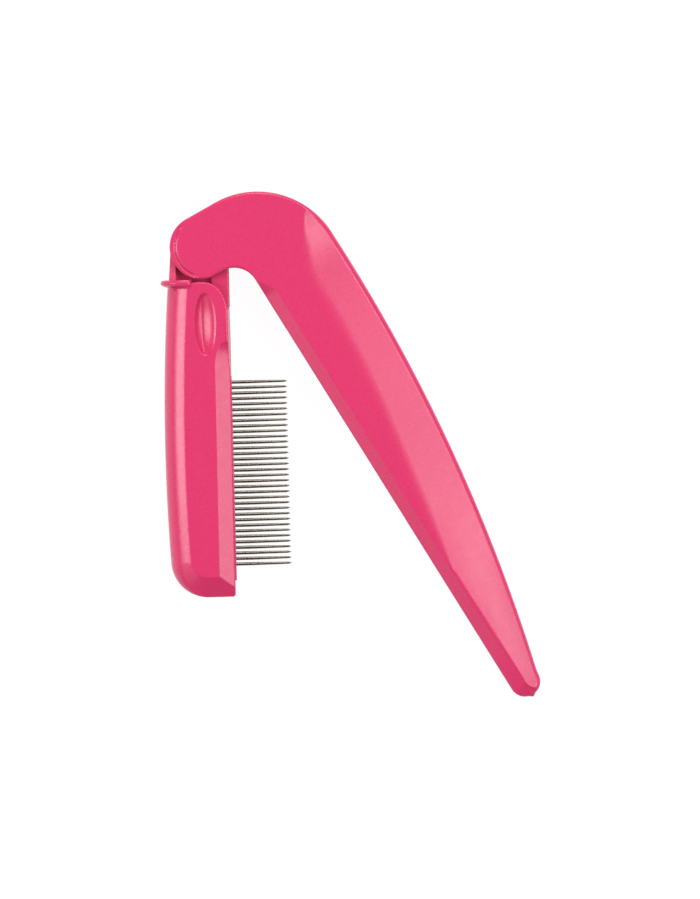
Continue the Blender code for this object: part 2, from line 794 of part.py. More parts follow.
def dimple_mesh(name, sign):
    """Return a dimple's cutter: an oval bowl whose floor leans, deeper towards the back edge."""
    depth = DIMPLE_DEPTH + DIMPLE_LIFT
    spread = 1 / math.sqrt(1 - (DIMPLE_LIFT / depth) ** 2)
    bm = bmesh.new()
    bmesh.ops.create_uvsphere(bm, u_segments=28, v_segments=14, radius=1.0)
    size = (DIMPLE_HALF_LENGTH * spread, DIMPLE_HALF_WIDTH * spread, depth)
    bmesh.ops.scale(bm, vec=size, verts=bm.verts)
    for v in bm.verts:
        v.co.z += sign * DIMPLE_LEAN * v.co.y
    place = (*DIMPLE_CENTRE, sign * (HEAD_FACE + DIMPLE_LIFT))
    bmesh.ops.translate(bm, vec=place, verts=bm.verts)
    return mesh_from(bm, name)


def make_head(parts, cutters, material):
    """Make the comb head in one piece: body, web, rib, dimples and the bar's groove."""
    mesh = body_mesh()
    head = new_object("comb_head", mesh, parts, material, HEAD_TURN)
    mirror_thickness(head)
    boolean(head, make_web(cutters), "UNION")
    rib = new_cutter("rib", rib_mesh(), cutters, HEAD_TURN)
    boolean(head, rib, "UNION")
    for side, sign in (("front", 1), ("rear", -1)):
        name = f"dimple_{side}"
        boolean(head, new_cutter(name, dimple_mesh(name, sign), cutters, HEAD_TURN), "DIFFERENCE")
    gap = BAR_CLEARANCE
    groove = box_mesh(
        "bar_groove",
        (BAR_START - gap, BAR_FACE - BAR_DEPTH - gap, -BAR_HALF_HEIGHT - gap),
        (BAR_END + gap, BAR_FACE + 1.0 * MM, BAR_HALF_HEIGHT + gap),
    )
    boolean(head, new_cutter("bar_groove", groove, cutters, HEAD_TURN), "DIFFERENCE")
    smooth(mesh)
    return head


def needle_place(index):
    """Return x of a needle."""
    return NEEDLE_FIRST + index * NEEDLE_PITCH


def make_bar(parts, cutters, material):
    """Make the strip that holds the needles, with a blind hole for each."""
    mesh = box_mesh(
        "tooth_bar",
        (BAR_START, BAR_FACE - BAR_DEPTH, -BAR_HALF_HEIGHT),
        (BAR_END, BAR_FACE, BAR_HALF_HEIGHT),
    )
    bar = new_object("tooth_bar", mesh, parts, material, HEAD_TURN)
    edges = bar.modifiers.new("edges", "BEVEL")
    edges.width = 0.15 * MM
    edges.segments = 2
    floor = NEEDLE_ROOT - 0.1 * MM
    length = BAR_FACE + 0.5 * MM - floor
    bm = bmesh.new()
    for index in range(NEEDLE_COUNT):
        made = bmesh.ops.create_cone(
            bm, cap_ends=True, segments=NEEDLE_SIDES, radius1=NEEDLE_HOLE, radius2=NEEDLE_HOLE,
            depth=length,
        )
        turn = Vector((0.0, 0.0, 1.0)).rotation_difference(Vector((0.0, 1.0, 0.0))).to_matrix()
        bmesh.ops.rotate(bm, cent=(0.0, 0.0, 0.0), matrix=turn, verts=made["verts"])
        place = (needle_place(index), floor + length / 2, 0.0)
        bmesh.ops.translate(bm, vec=place, verts=made["verts"])
    holes = new_cutter("needle_holes", mesh_from(bm, "needle_holes"), cutters, HEAD_TURN)
    boolean(bar, holes, "DIFFERENCE")
    return bar


def needle_mesh(material):
    """Return one needle along +y, turned from a profile of radii."""
    profile = [(0.0, NEEDLE_TIP)]
    profile += [(radius, NEEDLE_TIP - back) for back, radius in NEEDLE_TAPER]
    profile += [(NEEDLE_RADIUS, NEEDLE_ROOT), (0.0, NEEDLE_ROOT)]
    bm = bmesh.new()
    ring = [bm.verts.new((radius, 0.0, height)) for radius, height in profile]
    for first, second in zip(ring, ring[1:]):
        bm.edges.new((first, second))
    guide = bpy.data.objects.new("needle_profile", mesh_from(bm, "needle_profile"))
    bpy.context.scene.collection.objects.link(guide)
    turned = guide.modifiers.new("turn", "SCREW")
    turned.steps = NEEDLE_SIDES
    turned.render_steps = NEEDLE_SIDES
    turned.use_merge_vertices = True
    turned.merge_threshold = 0.000001
    evaluated = guide.evaluated_get(bpy.context.evaluated_depsgraph_get())
    mesh = bpy.data.meshes.new_from_object(evaluated)
    bpy.data.objects.remove(guide, do_unlink=True)
    mesh.name = "needle"
    mesh.materials.append(material)
    bm = bmesh.new()
    bm.from_mesh(mesh)
    turn = Vector((0.0, 0.0, 1.0)).rotation_difference(Vector((0.0, 1.0, 0.0))).to_matrix()
    bmesh.ops.rotate(bm, cent=(0.0, 0.0, 0.0), matrix=turn, verts=bm.verts)
    bm.to_mesh(mesh)
    bm.free()
    smooth(mesh, 50.0)
    return mesh


def make_needles(parts, material):
    """Make the needles, which share one mesh."""
    mesh = needle_mesh(material)
    needles = []
    for index in range(NEEDLE_COUNT):
        needle = bpy.data.objects.new(f"needle_{index + 1:02d}", mesh)
        x = needle_place(index)
        needle.location = (x * math.cos(HEAD_TURN), x * math.sin(HEAD_TURN), MID_HEIGHT)
        needle.rotation_euler = (0.0, 0.0, HEAD_TURN)
        parts.objects.link(needle)
        needles.append(needle)
    return needles


def main():
    """Build the comb."""
    clear_scene()
    parts = new_collection("folding_eyelash_comb")
    cutters = new_collection("cutters")
    handle_plastic = new_material("handle_plastic", PINK, 0.38, 0.0)
    head_plastic = new_material("head_plastic", PINK, 0.36, 0.0)
    bar_plastic = new_material("bar_plastic", PINK, 0.40, 0.0)
    pin_steel = new_material("pin_steel", STEEL, 0.35, 1.0)
    needle_steel = new_material("needle_steel", STEEL, 0.30, 1.0)
    make_handle(parts, cutters, handle_plastic)
    make_pin(parts, pin_steel)
    moving = [make_head(parts, cutters, head_plastic), make_bar(parts, cutters, bar_plastic)]
    moving += make_needles(parts, needle_steel)
    axis = bpy.data.objects.new("fold_axis", None)
    parts.objects.link(axis)
    for item in moving:
        item.parent = axis


main()
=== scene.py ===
"""Looks of the folding eyelash comb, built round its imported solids.

The handle, the comb head, the tooth bar and the needles are remade here as fine meshes with the
sizes of the solids: rounded creases, softened corners, a faint mould seam and tapered points.
Each piece is modelled in a frame of its own, with x along the piece from the hinge, y across it
and z = 0 in the middle of its thickness, and is then turned and lifted into the row's frame.
"""

from __future__ import annotations

import json
import logging
import math
from collections.abc import Callable, Iterable, Sequence
from dataclasses import dataclass, field
from enum import Enum

import bmesh
import bpy
from mathutils import Matrix, Vector

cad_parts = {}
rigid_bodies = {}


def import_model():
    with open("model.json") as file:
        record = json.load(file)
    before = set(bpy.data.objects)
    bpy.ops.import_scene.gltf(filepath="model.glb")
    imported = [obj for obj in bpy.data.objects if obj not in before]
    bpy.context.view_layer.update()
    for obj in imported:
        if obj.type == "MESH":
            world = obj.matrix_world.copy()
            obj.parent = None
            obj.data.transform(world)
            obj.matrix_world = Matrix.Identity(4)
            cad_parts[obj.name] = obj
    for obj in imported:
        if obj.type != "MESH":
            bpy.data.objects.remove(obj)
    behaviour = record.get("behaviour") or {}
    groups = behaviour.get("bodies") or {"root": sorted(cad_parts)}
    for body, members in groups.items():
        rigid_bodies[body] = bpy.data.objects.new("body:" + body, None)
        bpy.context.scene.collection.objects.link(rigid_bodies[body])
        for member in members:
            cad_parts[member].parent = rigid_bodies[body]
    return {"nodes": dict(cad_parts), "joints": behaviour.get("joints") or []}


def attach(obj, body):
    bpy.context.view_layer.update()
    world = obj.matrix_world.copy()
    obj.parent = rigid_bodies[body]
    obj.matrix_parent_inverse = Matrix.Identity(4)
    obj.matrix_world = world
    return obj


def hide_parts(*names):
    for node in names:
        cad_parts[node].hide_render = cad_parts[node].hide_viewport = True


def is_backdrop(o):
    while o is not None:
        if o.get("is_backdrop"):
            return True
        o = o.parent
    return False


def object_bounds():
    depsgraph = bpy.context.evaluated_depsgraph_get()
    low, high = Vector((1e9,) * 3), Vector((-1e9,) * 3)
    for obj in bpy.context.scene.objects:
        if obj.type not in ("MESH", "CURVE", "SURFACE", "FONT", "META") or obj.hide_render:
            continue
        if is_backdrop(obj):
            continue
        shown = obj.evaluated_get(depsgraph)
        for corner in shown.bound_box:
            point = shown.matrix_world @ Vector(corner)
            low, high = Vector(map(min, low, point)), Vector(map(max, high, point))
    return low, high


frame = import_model()
CAD_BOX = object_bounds()

LOG = logging.getLogger("eyelash_comb")

MM = 0.001

# Turn of each piece's own frame at rest, in degrees from the row's x axis.
HANDLE_TURN = -57.95
HEAD_TURN = -88.5

# Where the seam's slope ends, above the middle of the thickness.
SEAM_TOP = 0.07 * MM

# Distance of the row beside a bend that keeps the shading of a face flat.
BESIDE = 0.04 * MM

Point = tuple[float, float]
Section = list[tuple[float, float, float]]


class Side(Enum):
    """The two faces of the comb, as the sign of their height above the middle."""

    FRONT = 1
    REAR = -1


class Operation(Enum):
    """What a Boolean does with its second shape."""

    CUT = "DIFFERENCE"
    JOIN = "UNION"


def lerp(a: float, b: float, t: float) -> float:
    """Return the value a share t of the way from a to b."""
    return a + (b - a) * t


def ease(t: float) -> float:
    """Return a smooth step for t, held between 0 and 1."""
    t = min(max(t, 0.0), 1.0)
    return t * t * (3 - 2 * t)


def read_table(table: Sequence[Point], x: float) -> float:
    """Read a table of rising (x, value) rows.

    Args:
        table: The rows.
        x: Where to read.

    Returns:
        The value at x, straight between rows and constant past the ends.
    """
    for (x0, y0), (x1, y1) in zip(table, table[1:]):
        if x <= x1:
            return lerp(y0, y1, max(0.0, (x - x0) / (x1 - x0)))
    return table[-1][1]


def smooth_rows(table: Sequence[Point], steps: int) -> list[Point]:
    """Lay a smooth curve through a table's rows.

    Args:
        table: The rows.
        steps: Steps between one row and the next.

    Returns:
        The curve's points, with the rows among them.
    """
    points = []
    for i in range(len(table) - 1):
        around = [table[min(max(i + k, 0), len(table) - 1)] for k in (-1, 0, 1, 2)]
        for step in range(steps):
            t = step / steps
            weights = (
                -t * (1 - t) ** 2 / 2,
                (2 - 5 * t * t + 3 * t**3) / 2,
                (t + 4 * t * t - 3 * t**3) / 2,
                -t * t * (1 - t) / 2,
            )
            points.append(tuple(sum(w * p[axis] for w, p in zip(weights, around)) for axis in (0, 1)))
    points.append(table[-1])
    return points


def arc(centre: Point, radius: float, start: float, end: float, steps: int) -> list[Point]:
    """Lay points on an arc.

    Args:
        centre: The arc's centre.
        radius: Its radius.
        start: Angle of the first point, in degrees.
        end: Angle of the last point, in degrees.
        steps: Number of steps between them.

    Returns:
        The points, one more than the steps.
    """
    points = []
    for i in range(steps + 1):
        angle = math.radians(lerp(start, end, i / steps))
        x = centre[0] + radius * math.cos(angle)
        y = centre[1] + radius * math.sin(angle)
        points.append((x, y))
    return points


@dataclass(frozen=True)
class OwnFrame:
    """Where a piece's own frame lies in the row's frame.

    Attributes:
        turn: Turn about the hinge axis, in radians.
        hinge: The hinge axis at mid-thickness.
    """

    turn: float
    hinge: Vector

    def settle(self, mesh: bpy.types.Mesh) -> None:
        """Move a mesh from its own frame into the row's."""
        mesh.transform(Matrix.Translation(self.hinge) @ Matrix.Rotation(self.turn, 4, "Z"))
        mesh.update()


def bend(first: Point, corner: Point, last: Point, steps: int) -> list[Point]:
    """Return points on a smooth bend that replaces a corner between two points."""
    points = []
    for i in range(steps + 1):
        t = i / steps
        near, far = (1 - t) ** 2, t * t
        mid = 2 * t * (1 - t)
        points.append(tuple(near * a + mid * b + far * c for a, b, c in zip(first, corner, last)))
    return points


@dataclass(frozen=True)
class EdgeForm:
    """How the side of a moulding turns into its flat face, in section.

    Attributes:
        rim: Height at which the side meets the facet.
        face: Height of the flat face.
        rim_radius: Radius between side and facet.
        crease: Half length of the bend between facet and flat face.
        crown: Share of the facet's fall that comes from its bulge, 0 where it is flat.
        draft: How far the side leans inwards on its way up.
        rim_steps: Steps in the rim's arc.
        facet_steps: Steps across the facet.
        crease_steps: Steps in the bend.
        seam: How far the mould's seam stands out at mid-thickness.
    """

    rim: float
    face: float
    rim_radius: float
    crease: float = 0.12 * MM
    crown: float = 0.0
    draft: float = 0.0
    rim_steps: int = 6
    facet_steps: int = 1
    crease_steps: int = 4
    seam: float = 0.0

    def rows(self, reach: float) -> list[Point]:
        """Work out the section.

        Args:
            reach: Distance from the outline to where the flat face starts.

        Returns:
            Rows of inset and height, from the seam to the flat face. Rows close beside each
            bend keep the shading of facet and face flat.
        """
        keep = min(BESIDE, reach * 0.04)
        crease = min(self.crease, (reach - self.draft) * 0.3)
        width = reach - keep - crease
        mean = (self.face - self.rim) / (width - self.draft)
        upper = math.atan(mean * (1 - self.crown))
        lower = math.atan(mean * (1 + self.crown))
        lean = math.atan2(self.draft, self.rim)
        turn = math.pi / 2 - lean - lower
        room = 0.92 * (width - crease - self.draft) * math.cos(lower)
        radius = min(self.rim_radius, self.rim * 0.95, room / (1 - math.sin(lower)))
        tangent = radius * math.tan(turn / 2)
        side = (self.draft - tangent * math.sin(lean), self.rim - tangent * math.cos(lean))
        middle = (side[0] + radius * math.cos(lean), side[1] - radius * math.sin(lean))
        rows = [(-self.seam, 0.0), (0.0, SEAM_TOP)]
        rows.append((side[0] * (1 - keep / side[1]), side[1] - keep * 0.5))
        for i in range(self.rim_steps + 1):
            angle = lean + turn * i / self.rim_steps
            rows.append((middle[0] - radius * math.cos(angle), middle[1] + radius * math.sin(angle)))
        start = rows[-1]
        stop = (width - crease * math.cos(upper), self.face - crease * math.sin(upper))
        span = stop[0] - start[0]
        close = min(keep, span / 3)
        for i in range(self.facet_steps + 1):
            inset = lerp(start[0] + close, stop[0] - close, i / self.facet_steps)
            t = (inset - start[0]) / span
            height = start[1] * (1 + 2 * t) * (1 - t) ** 2 + stop[1] * t * t * (3 - 2 * t)
            height += span * t * (1 - t) * (math.tan(lower) * (1 - t) - math.tan(upper) * t)
            rows.append((inset, height))
        rows += bend(stop, (width, self.face), (reach - keep, self.face), self.crease_steps)
        rows.append((reach, self.face))
        return rows

    def section(self, edge: Point, flat: Point) -> Section:
        """Place the section between the outline and the flat face.

        Args:
            edge: Point of the outline.
            flat: Point where the flat face starts.

        Returns:
            Points from the outline to the flat face.
        """
        reach = (Vector(flat) - Vector(edge)).length
        return place_rows(edge, flat, self.rows(reach))


def place_rows(edge: Point, flat: Point, rows: Sequence[Point]) -> Section:
    """Lay rows of inset and height from a point of the outline towards the flat face."""
    direction = (Vector(flat) - Vector(edge)).normalized()
    points = []
    for inset, height in rows:
        point = Vector(edge) + direction * inset
        points.append((point.x, point.y, height))
    return points


def blend_sections(first: Section, second: Section, t: float) -> Section:
    """Return the section a share t of the way from one section to another."""
    return [tuple(lerp(a, b, t) for a, b in zip(p, q)) for p, q in zip(first, second)]


def mesh_from(bm: bmesh.types.BMesh, name: str) -> bpy.types.Mesh:
    """Return a mesh made from a bmesh, which is freed."""
    mesh = bpy.data.meshes.new(name)
    bm.to_mesh(mesh)
    bm.free()
    return mesh


def loft_moulding(name: str, sections: Sequence[Section]) -> bpy.types.Mesh:
    """Loft sections into a moulding whose two faces are alike.

    Args:
        name: Name of the mesh.
        sections: Sections from the seam to the flat face, counterclockwise. Sections that end
            at the same point share it, so two facets may meet in a ridge. A section with fewer
            points than the longest one repeats its last point.

    Returns:
        The closed mesh.
    """
    bm = bmesh.new()
    known: dict[tuple[int, ...], bmesh.types.BMVert] = {}

    def vertex(point: tuple[float, float, float]) -> bmesh.types.BMVert:
        """Return the vertex at a point, made if it is new."""
        key = tuple(round(value * 2e7) for value in point)
        if key not in known:
            known[key] = bm.verts.new(point)
        return known[key]

    longest = max(len(section) for section in sections)
    grid = []
    for section in sections:
        row = [vertex(point) for point in section]
        grid.append(row + [row[-1]] * (longest - len(row)))
    for left, right in zip(grid, grid[1:] + grid[:1]):
        for j in range(longest - 1):
            corners = [left[j], right[j], right[j + 1], left[j + 1]]
            ring = [v for i, v in enumerate(corners) if v is not corners[i - 1]]
            if len(ring) > 2:
                bm.faces.new(ring)
    rim = [e for e in bm.edges if e.is_boundary and min(v.co.z for v in e.verts) > 0]
    bmesh.ops.edgeloop_fill(bm, edges=rim)
    half = list(bm.verts) + list(bm.edges) + list(bm.faces)
    other = bmesh.ops.duplicate(bm, geom=half)
    turned = [item for item in other["geom"] if isinstance(item, bmesh.types.BMVert)]
    for v in turned:
        v.co.z = -v.co.z
    seam = [v for v in bm.verts if abs(v.co.z) < 0.001 * MM]
    bmesh.ops.remove_doubles(bm, verts=seam, dist=0.002 * MM)
    bmesh.ops.recalc_face_normals(bm, faces=bm.faces)
    return mesh_from(bm, name)


def loft_rings(name: str, rings: Sequence[Section]) -> bpy.types.Mesh:
    """Join closed rings of points, one after another, and cap the two ends."""
    bm = bmesh.new()
    grid = [[bm.verts.new(point) for point in ring] for ring in rings]
    for first, second in zip(grid, grid[1:]):
        for i in range(len(first)):
            bm.faces.new([first[i - 1], first[i], second[i], second[i - 1]])
    for ring in (grid[0], grid[-1]):
        bm.faces.new(ring)
    bmesh.ops.recalc_face_normals(bm, faces=bm.faces)
    return mesh_from(bm, name)


def box_mesh(name: str, low: Sequence[float], high: Sequence[float]) -> bpy.types.Mesh:
    """Return a box between two corners."""
    bm = bmesh.new()
    bmesh.ops.create_cube(bm, size=1.0)
    bmesh.ops.scale(bm, vec=Vector(high) - Vector(low), verts=bm.verts)
    bmesh.ops.translate(bm, vec=(Vector(high) + Vector(low)) / 2, verts=bm.verts)
    return mesh_from(bm, name)


def disc_mesh(name: str, radius: float, half_length: float, sides: int) -> bpy.types.Mesh:
    """Return a cylinder along z, centred on the hinge axis."""
    bm = bmesh.new()
    bmesh.ops.create_cone(
        bm, cap_ends=True, segments=sides, radius1=radius, radius2=radius, depth=2 * half_length
    )
    return mesh_from(bm, name)


def slab_mesh(
    name: str, outline: Sequence[Point], low: float, high: float, rounding: float = 0.0
) -> bpy.types.Mesh:
    """Extrude a closed outline with rounded edges.

    Args:
        name: Name of the mesh.
        outline: Points of the outline.
        low: Height of the lower face.
        high: Height of the upper face.
        rounding: Radius of the edges of both faces.

    Returns:
        The closed mesh.
    """
    curve = bpy.data.curves.new(name, "CURVE")
    curve.dimensions = "2D"
    curve.fill_mode = "BOTH"
    curve.extrude = (high - low) / 2 - rounding
    curve.bevel_depth = rounding
    curve.bevel_resolution = 3
    curve.offset = -rounding
    spline = curve.splines.new("POLY")
    spline.points.add(len(outline) - 1)
    for point, (x, y) in zip(spline.points, outline):
        point.co = (x, y, 0.0, 1.0)
    spline.use_cyclic_u = True
    guide = bpy.data.objects.new(name, curve)
    bpy.context.scene.collection.objects.link(guide)
    shown = guide.evaluated_get(bpy.context.evaluated_depsgraph_get())
    mesh = bpy.data.meshes.new_from_object(shown)
    bpy.data.objects.remove(guide, do_unlink=True)
    bpy.data.curves.remove(curve)
    bm = bmesh.new()
    bm.from_mesh(mesh)
    bmesh.ops.remove_doubles(bm, verts=bm.verts, dist=0.001 * MM)
    bmesh.ops.recalc_face_normals(bm, faces=bm.faces)
    bmesh.ops.translate(bm, vec=(0.0, 0.0, (high + low) / 2), verts=bm.verts)
    bm.to_mesh(mesh)
    bm.free()
    mesh.name = name
    return mesh


def carve(mesh: bpy.types.Mesh, steps: Iterable[tuple[Operation, bpy.types.Mesh]]) -> bpy.types.Mesh:
    """Cut shapes from a mesh and join shapes to it.

    Args:
        mesh: The first shape.
        steps: What is done, in order, and with which shape. All are removed afterwards.

    Returns:
        The new mesh.
    """
    scene = bpy.context.scene.collection.objects
    block = bpy.data.objects.new("block", mesh)
    scene.link(block)
    tools = []
    for operation, shape in steps:
        tool = bpy.data.objects.new("tool", shape)
        scene.link(tool)
        tools.append(tool)
        modifier = block.modifiers.new(operation.name, "BOOLEAN")
        modifier.operation = operation.value
        modifier.solver = "EXACT"
        modifier.object = tool
    shown = block.evaluated_get(bpy.context.evaluated_depsgraph_get())
    made = bpy.data.meshes.new_from_object(shown)
    made.name = mesh.name
    for item in [*tools, block]:
        data = item.data
        bpy.data.objects.remove(item, do_unlink=True)
        bpy.data.meshes.remove(data)
    return made


def soften(
    mesh: bpy.types.Mesh,
    width: float,
    where: Callable[[Vector], bool],
    segments: int = 2,
    angle: float = 40.0,
) -> None:
    """Round the sharp edges of a stretch of a mesh.

    Args:
        mesh: The mesh, in its own frame.
        width: Width of the rounding.
        where: Says whether a point lies in the stretch.
        segments: Steps in the rounding.
        angle: Least angle of an edge that is rounded, in degrees.
    """
    bm = bmesh.new()
    bm.from_mesh(mesh)
    bmesh.ops.remove_doubles(bm, verts=bm.verts, dist=0.004 * MM)
    least = math.radians(angle)
    sharp = [
        e
        for e in bm.edges
        if e.is_manifold and e.calc_face_angle(0.0) > least and all(where(v.co) for v in e.verts)
    ]
    bmesh.ops.bevel(
        bm,
        geom=sharp,
        offset=width,
        offset_type="OFFSET",
        segments=segments,
        profile=0.5,
        affect="EDGES",
        clamp_overlap=True,
    )
    bm.to_mesh(mesh)
    bm.free()


def finish_mesh(mesh: bpy.types.Mesh, degrees: float = 32.0) -> None:
    """Shade a mesh smooth but for its sharp edges, and turn its faces outwards."""
    bm = bmesh.new()
    bm.from_mesh(mesh)
    bmesh.ops.dissolve_degenerate(bm, dist=0.0005 * MM, edges=bm.edges)
    bmesh.ops.recalc_face_normals(bm, faces=bm.faces)
    bm.to_mesh(mesh)
    bm.free()
    mesh.shade_smooth()
    mesh.set_sharp_from_angle(angle=math.radians(degrees))
    for face in mesh.polygons:
        face.use_smooth = len(face.vertices) < 12


def show(name: str, mesh: bpy.types.Mesh, material: bpy.types.Material) -> bpy.types.Object:
    """Return a new object with a mesh and a material, linked to the scene."""
    mesh.materials.clear()
    mesh.materials.append(material)
    piece = bpy.data.objects.new(name, mesh)
    bpy.context.scene.collection.objects.link(piece)
    return piece


def noise(
    tree: bpy.types.NodeTree, scale: float, detail: float, stretch: Sequence[float] = (1, 1, 1)
) -> bpy.types.NodeSocket:
    """Add a noise pattern on Object coordinates.

    Args:
        tree: The material's tree.
        scale: Features per metre.
        detail: Octaves of finer noise.
        stretch: Scale along each axis, times the above.

    Returns:
        The pattern's value socket.
    """
    place = tree.nodes.new("ShaderNodeTexCoord")
    mapping = tree.nodes.new("ShaderNodeMapping")
    mapping.inputs["Scale"].default_value = stretch
    pattern = tree.nodes.new("ShaderNodeTexNoise")
    pattern.inputs["Scale"].default_value = scale
    pattern.inputs["Detail"].default_value = detail
    tree.links.new(place.outputs["Object"], mapping.inputs["Vector"])
    tree.links.new(mapping.outputs["Vector"], pattern.inputs["Vector"])
    return pattern.outputs["Fac"]


def spread(
    tree: bpy.types.NodeTree, value: bpy.types.NodeSocket, low: float, high: float
) -> bpy.types.NodeSocket:
    """Return a pattern's value spread over a range, from low to high."""
    node = tree.nodes.new("ShaderNodeMapRange")
    node.inputs["From Min"].default_value = 0.3
    node.inputs["From Max"].default_value = 0.7
    node.inputs["To Min"].default_value = low
    node.inputs["To Max"].default_value = high
    tree.links.new(value, node.inputs["Value"])
    return node.outputs["Result"]


def shade(
    tree: bpy.types.NodeTree,
    value: bpy.types.NodeSocket,
    low: Sequence[float],
    high: Sequence[float],
) -> bpy.types.NodeSocket:
    """Return a colour between two colours, by a pattern's value."""
    ramp = tree.nodes.new("ShaderNodeValToRGB")
    ramp.color_ramp.elements[0].position = 0.3
    ramp.color_ramp.elements[0].color = (*low, 1.0)
    ramp.color_ramp.elements[1].position = 0.7
    ramp.color_ramp.elements[1].color = (*high, 1.0)
    tree.links.new(value, ramp.inputs["Fac"])
    return ramp.outputs["Color"]


def relief(
    tree: bpy.types.NodeTree,
    value: bpy.types.NodeSocket,
    strength: float,
    distance: float,
    below: bpy.types.NodeSocket | None = None,
) -> bpy.types.NodeSocket:
    """Add a bump.

    Args:
        tree: The material's tree.
        value: The pattern.
        strength: Strength of the bump.
        distance: Height of the pattern, in metres.
        below: The normal of a bump that this one lies on.

    Returns:
        The bumped normal.
    """
    node = tree.nodes.new("ShaderNodeBump")
    node.inputs["Strength"].default_value = strength
    node.inputs["Distance"].default_value = distance
    tree.links.new(value, node.inputs["Height"])
    if below is not None:
        tree.links.new(below, node.inputs["Normal"])
    return node.outputs["Normal"]


@dataclass(frozen=True)
class MouldedPlastic:
    """Satin moulded plastic: an even colour, a fine spark-worn grain and a faint flow pattern.

    Attributes:
        colour: Mean colour.
        roughness: Mean roughness.
        grain: Height of the grain, in metres.
        specular: Specular level.
    """

    colour: tuple[float, float, float] = (0.61, 0.026, 0.118)
    roughness: float = 0.28
    grain: float = 0.004 * MM
    specular: float = 0.5

    def build(self, name: str) -> bpy.types.Material:
        """Return the material."""
        material = bpy.data.materials.new(name)
        material.use_nodes = True
        tree = material.node_tree
        shader = tree.nodes["Principled BSDF"]
        shader.inputs["Specular IOR Level"].default_value = self.specular
        flow = noise(tree, scale=60.0, detail=3.0, stretch=(1.0, 0.5, 1.0))
        low = tuple(c * 0.975 for c in self.colour)
        high = tuple(min(1.0, c * 1.02) for c in self.colour)
        tree.links.new(shade(tree, flow, low, high), shader.inputs["Base Color"])
        cloud = noise(tree, scale=900.0, detail=4.0)
        rough = spread(tree, cloud, self.roughness - 0.025, self.roughness + 0.025)
        tree.links.new(rough, shader.inputs["Roughness"])
        grain = noise(tree, scale=9000.0, detail=2.0)
        fine = relief(tree, grain, strength=0.35, distance=self.grain)
        waves = noise(tree, scale=180.0, detail=1.0)
        wavy = relief(tree, waves, strength=0.12, distance=0.02 * MM, below=fine)
        tree.links.new(wavy, shader.inputs["Normal"])
        return material


@dataclass(frozen=True)
class GroundSteel:
    """Drawn steel ground to a point, with marks along the needle.

    Attributes:
        colour: Mean colour.
        roughness: Mean roughness.
    """

    colour: tuple[float, float, float] = (0.15, 0.128, 0.105)
    roughness: float = 0.22

    def build(self, name: str) -> bpy.types.Material:
        """Return the material."""
        material = bpy.data.materials.new(name)
        material.use_nodes = True
        tree = material.node_tree
        shader = tree.nodes["Principled BSDF"]
        shader.inputs["Metallic"].default_value = 1.0
        marks = noise(tree, scale=4000.0, detail=4.0, stretch=(0.12, 1.0, 1.0))
        low = tuple(c * 0.9 for c in self.colour)
        high = tuple(min(1.0, c * 1.08) for c in self.colour)
        tree.links.new(shade(tree, marks, low, high), shader.inputs["Base Color"])
        rough = spread(tree, marks, self.roughness - 0.03, self.roughness + 0.05)
        tree.links.new(rough, shader.inputs["Roughness"])
        drawn = relief(tree, marks, strength=0.1, distance=0.001 * MM)
        tree.links.new(drawn, shader.inputs["Normal"])
        return material


@dataclass(frozen=True)
class PaleFloor:
    """The plain pale sheet that the comb lies on, lit from below.

    Attributes:
        colour: Its colour.
        glow: The light that comes through it.
    """

    colour: tuple[float, float, float] = (0.08, 0.08, 0.08)
    glow: float = 0.96

    def build(self, name: str) -> bpy.types.Material:
        """Return the material."""
        material = bpy.data.materials.new(name)
        material.use_nodes = True
        shader = material.node_tree.nodes["Principled BSDF"]
        shader.inputs["Base Color"].default_value = (*self.colour, 1.0)
        shader.inputs["Roughness"].default_value = 0.9
        shader.inputs["Specular IOR Level"].default_value = 0.0
        shader.inputs["Emission Color"].default_value = (1.0, 1.0, 1.0, 1.0)
        shader.inputs["Emission Strength"].default_value = self.glow
        return material


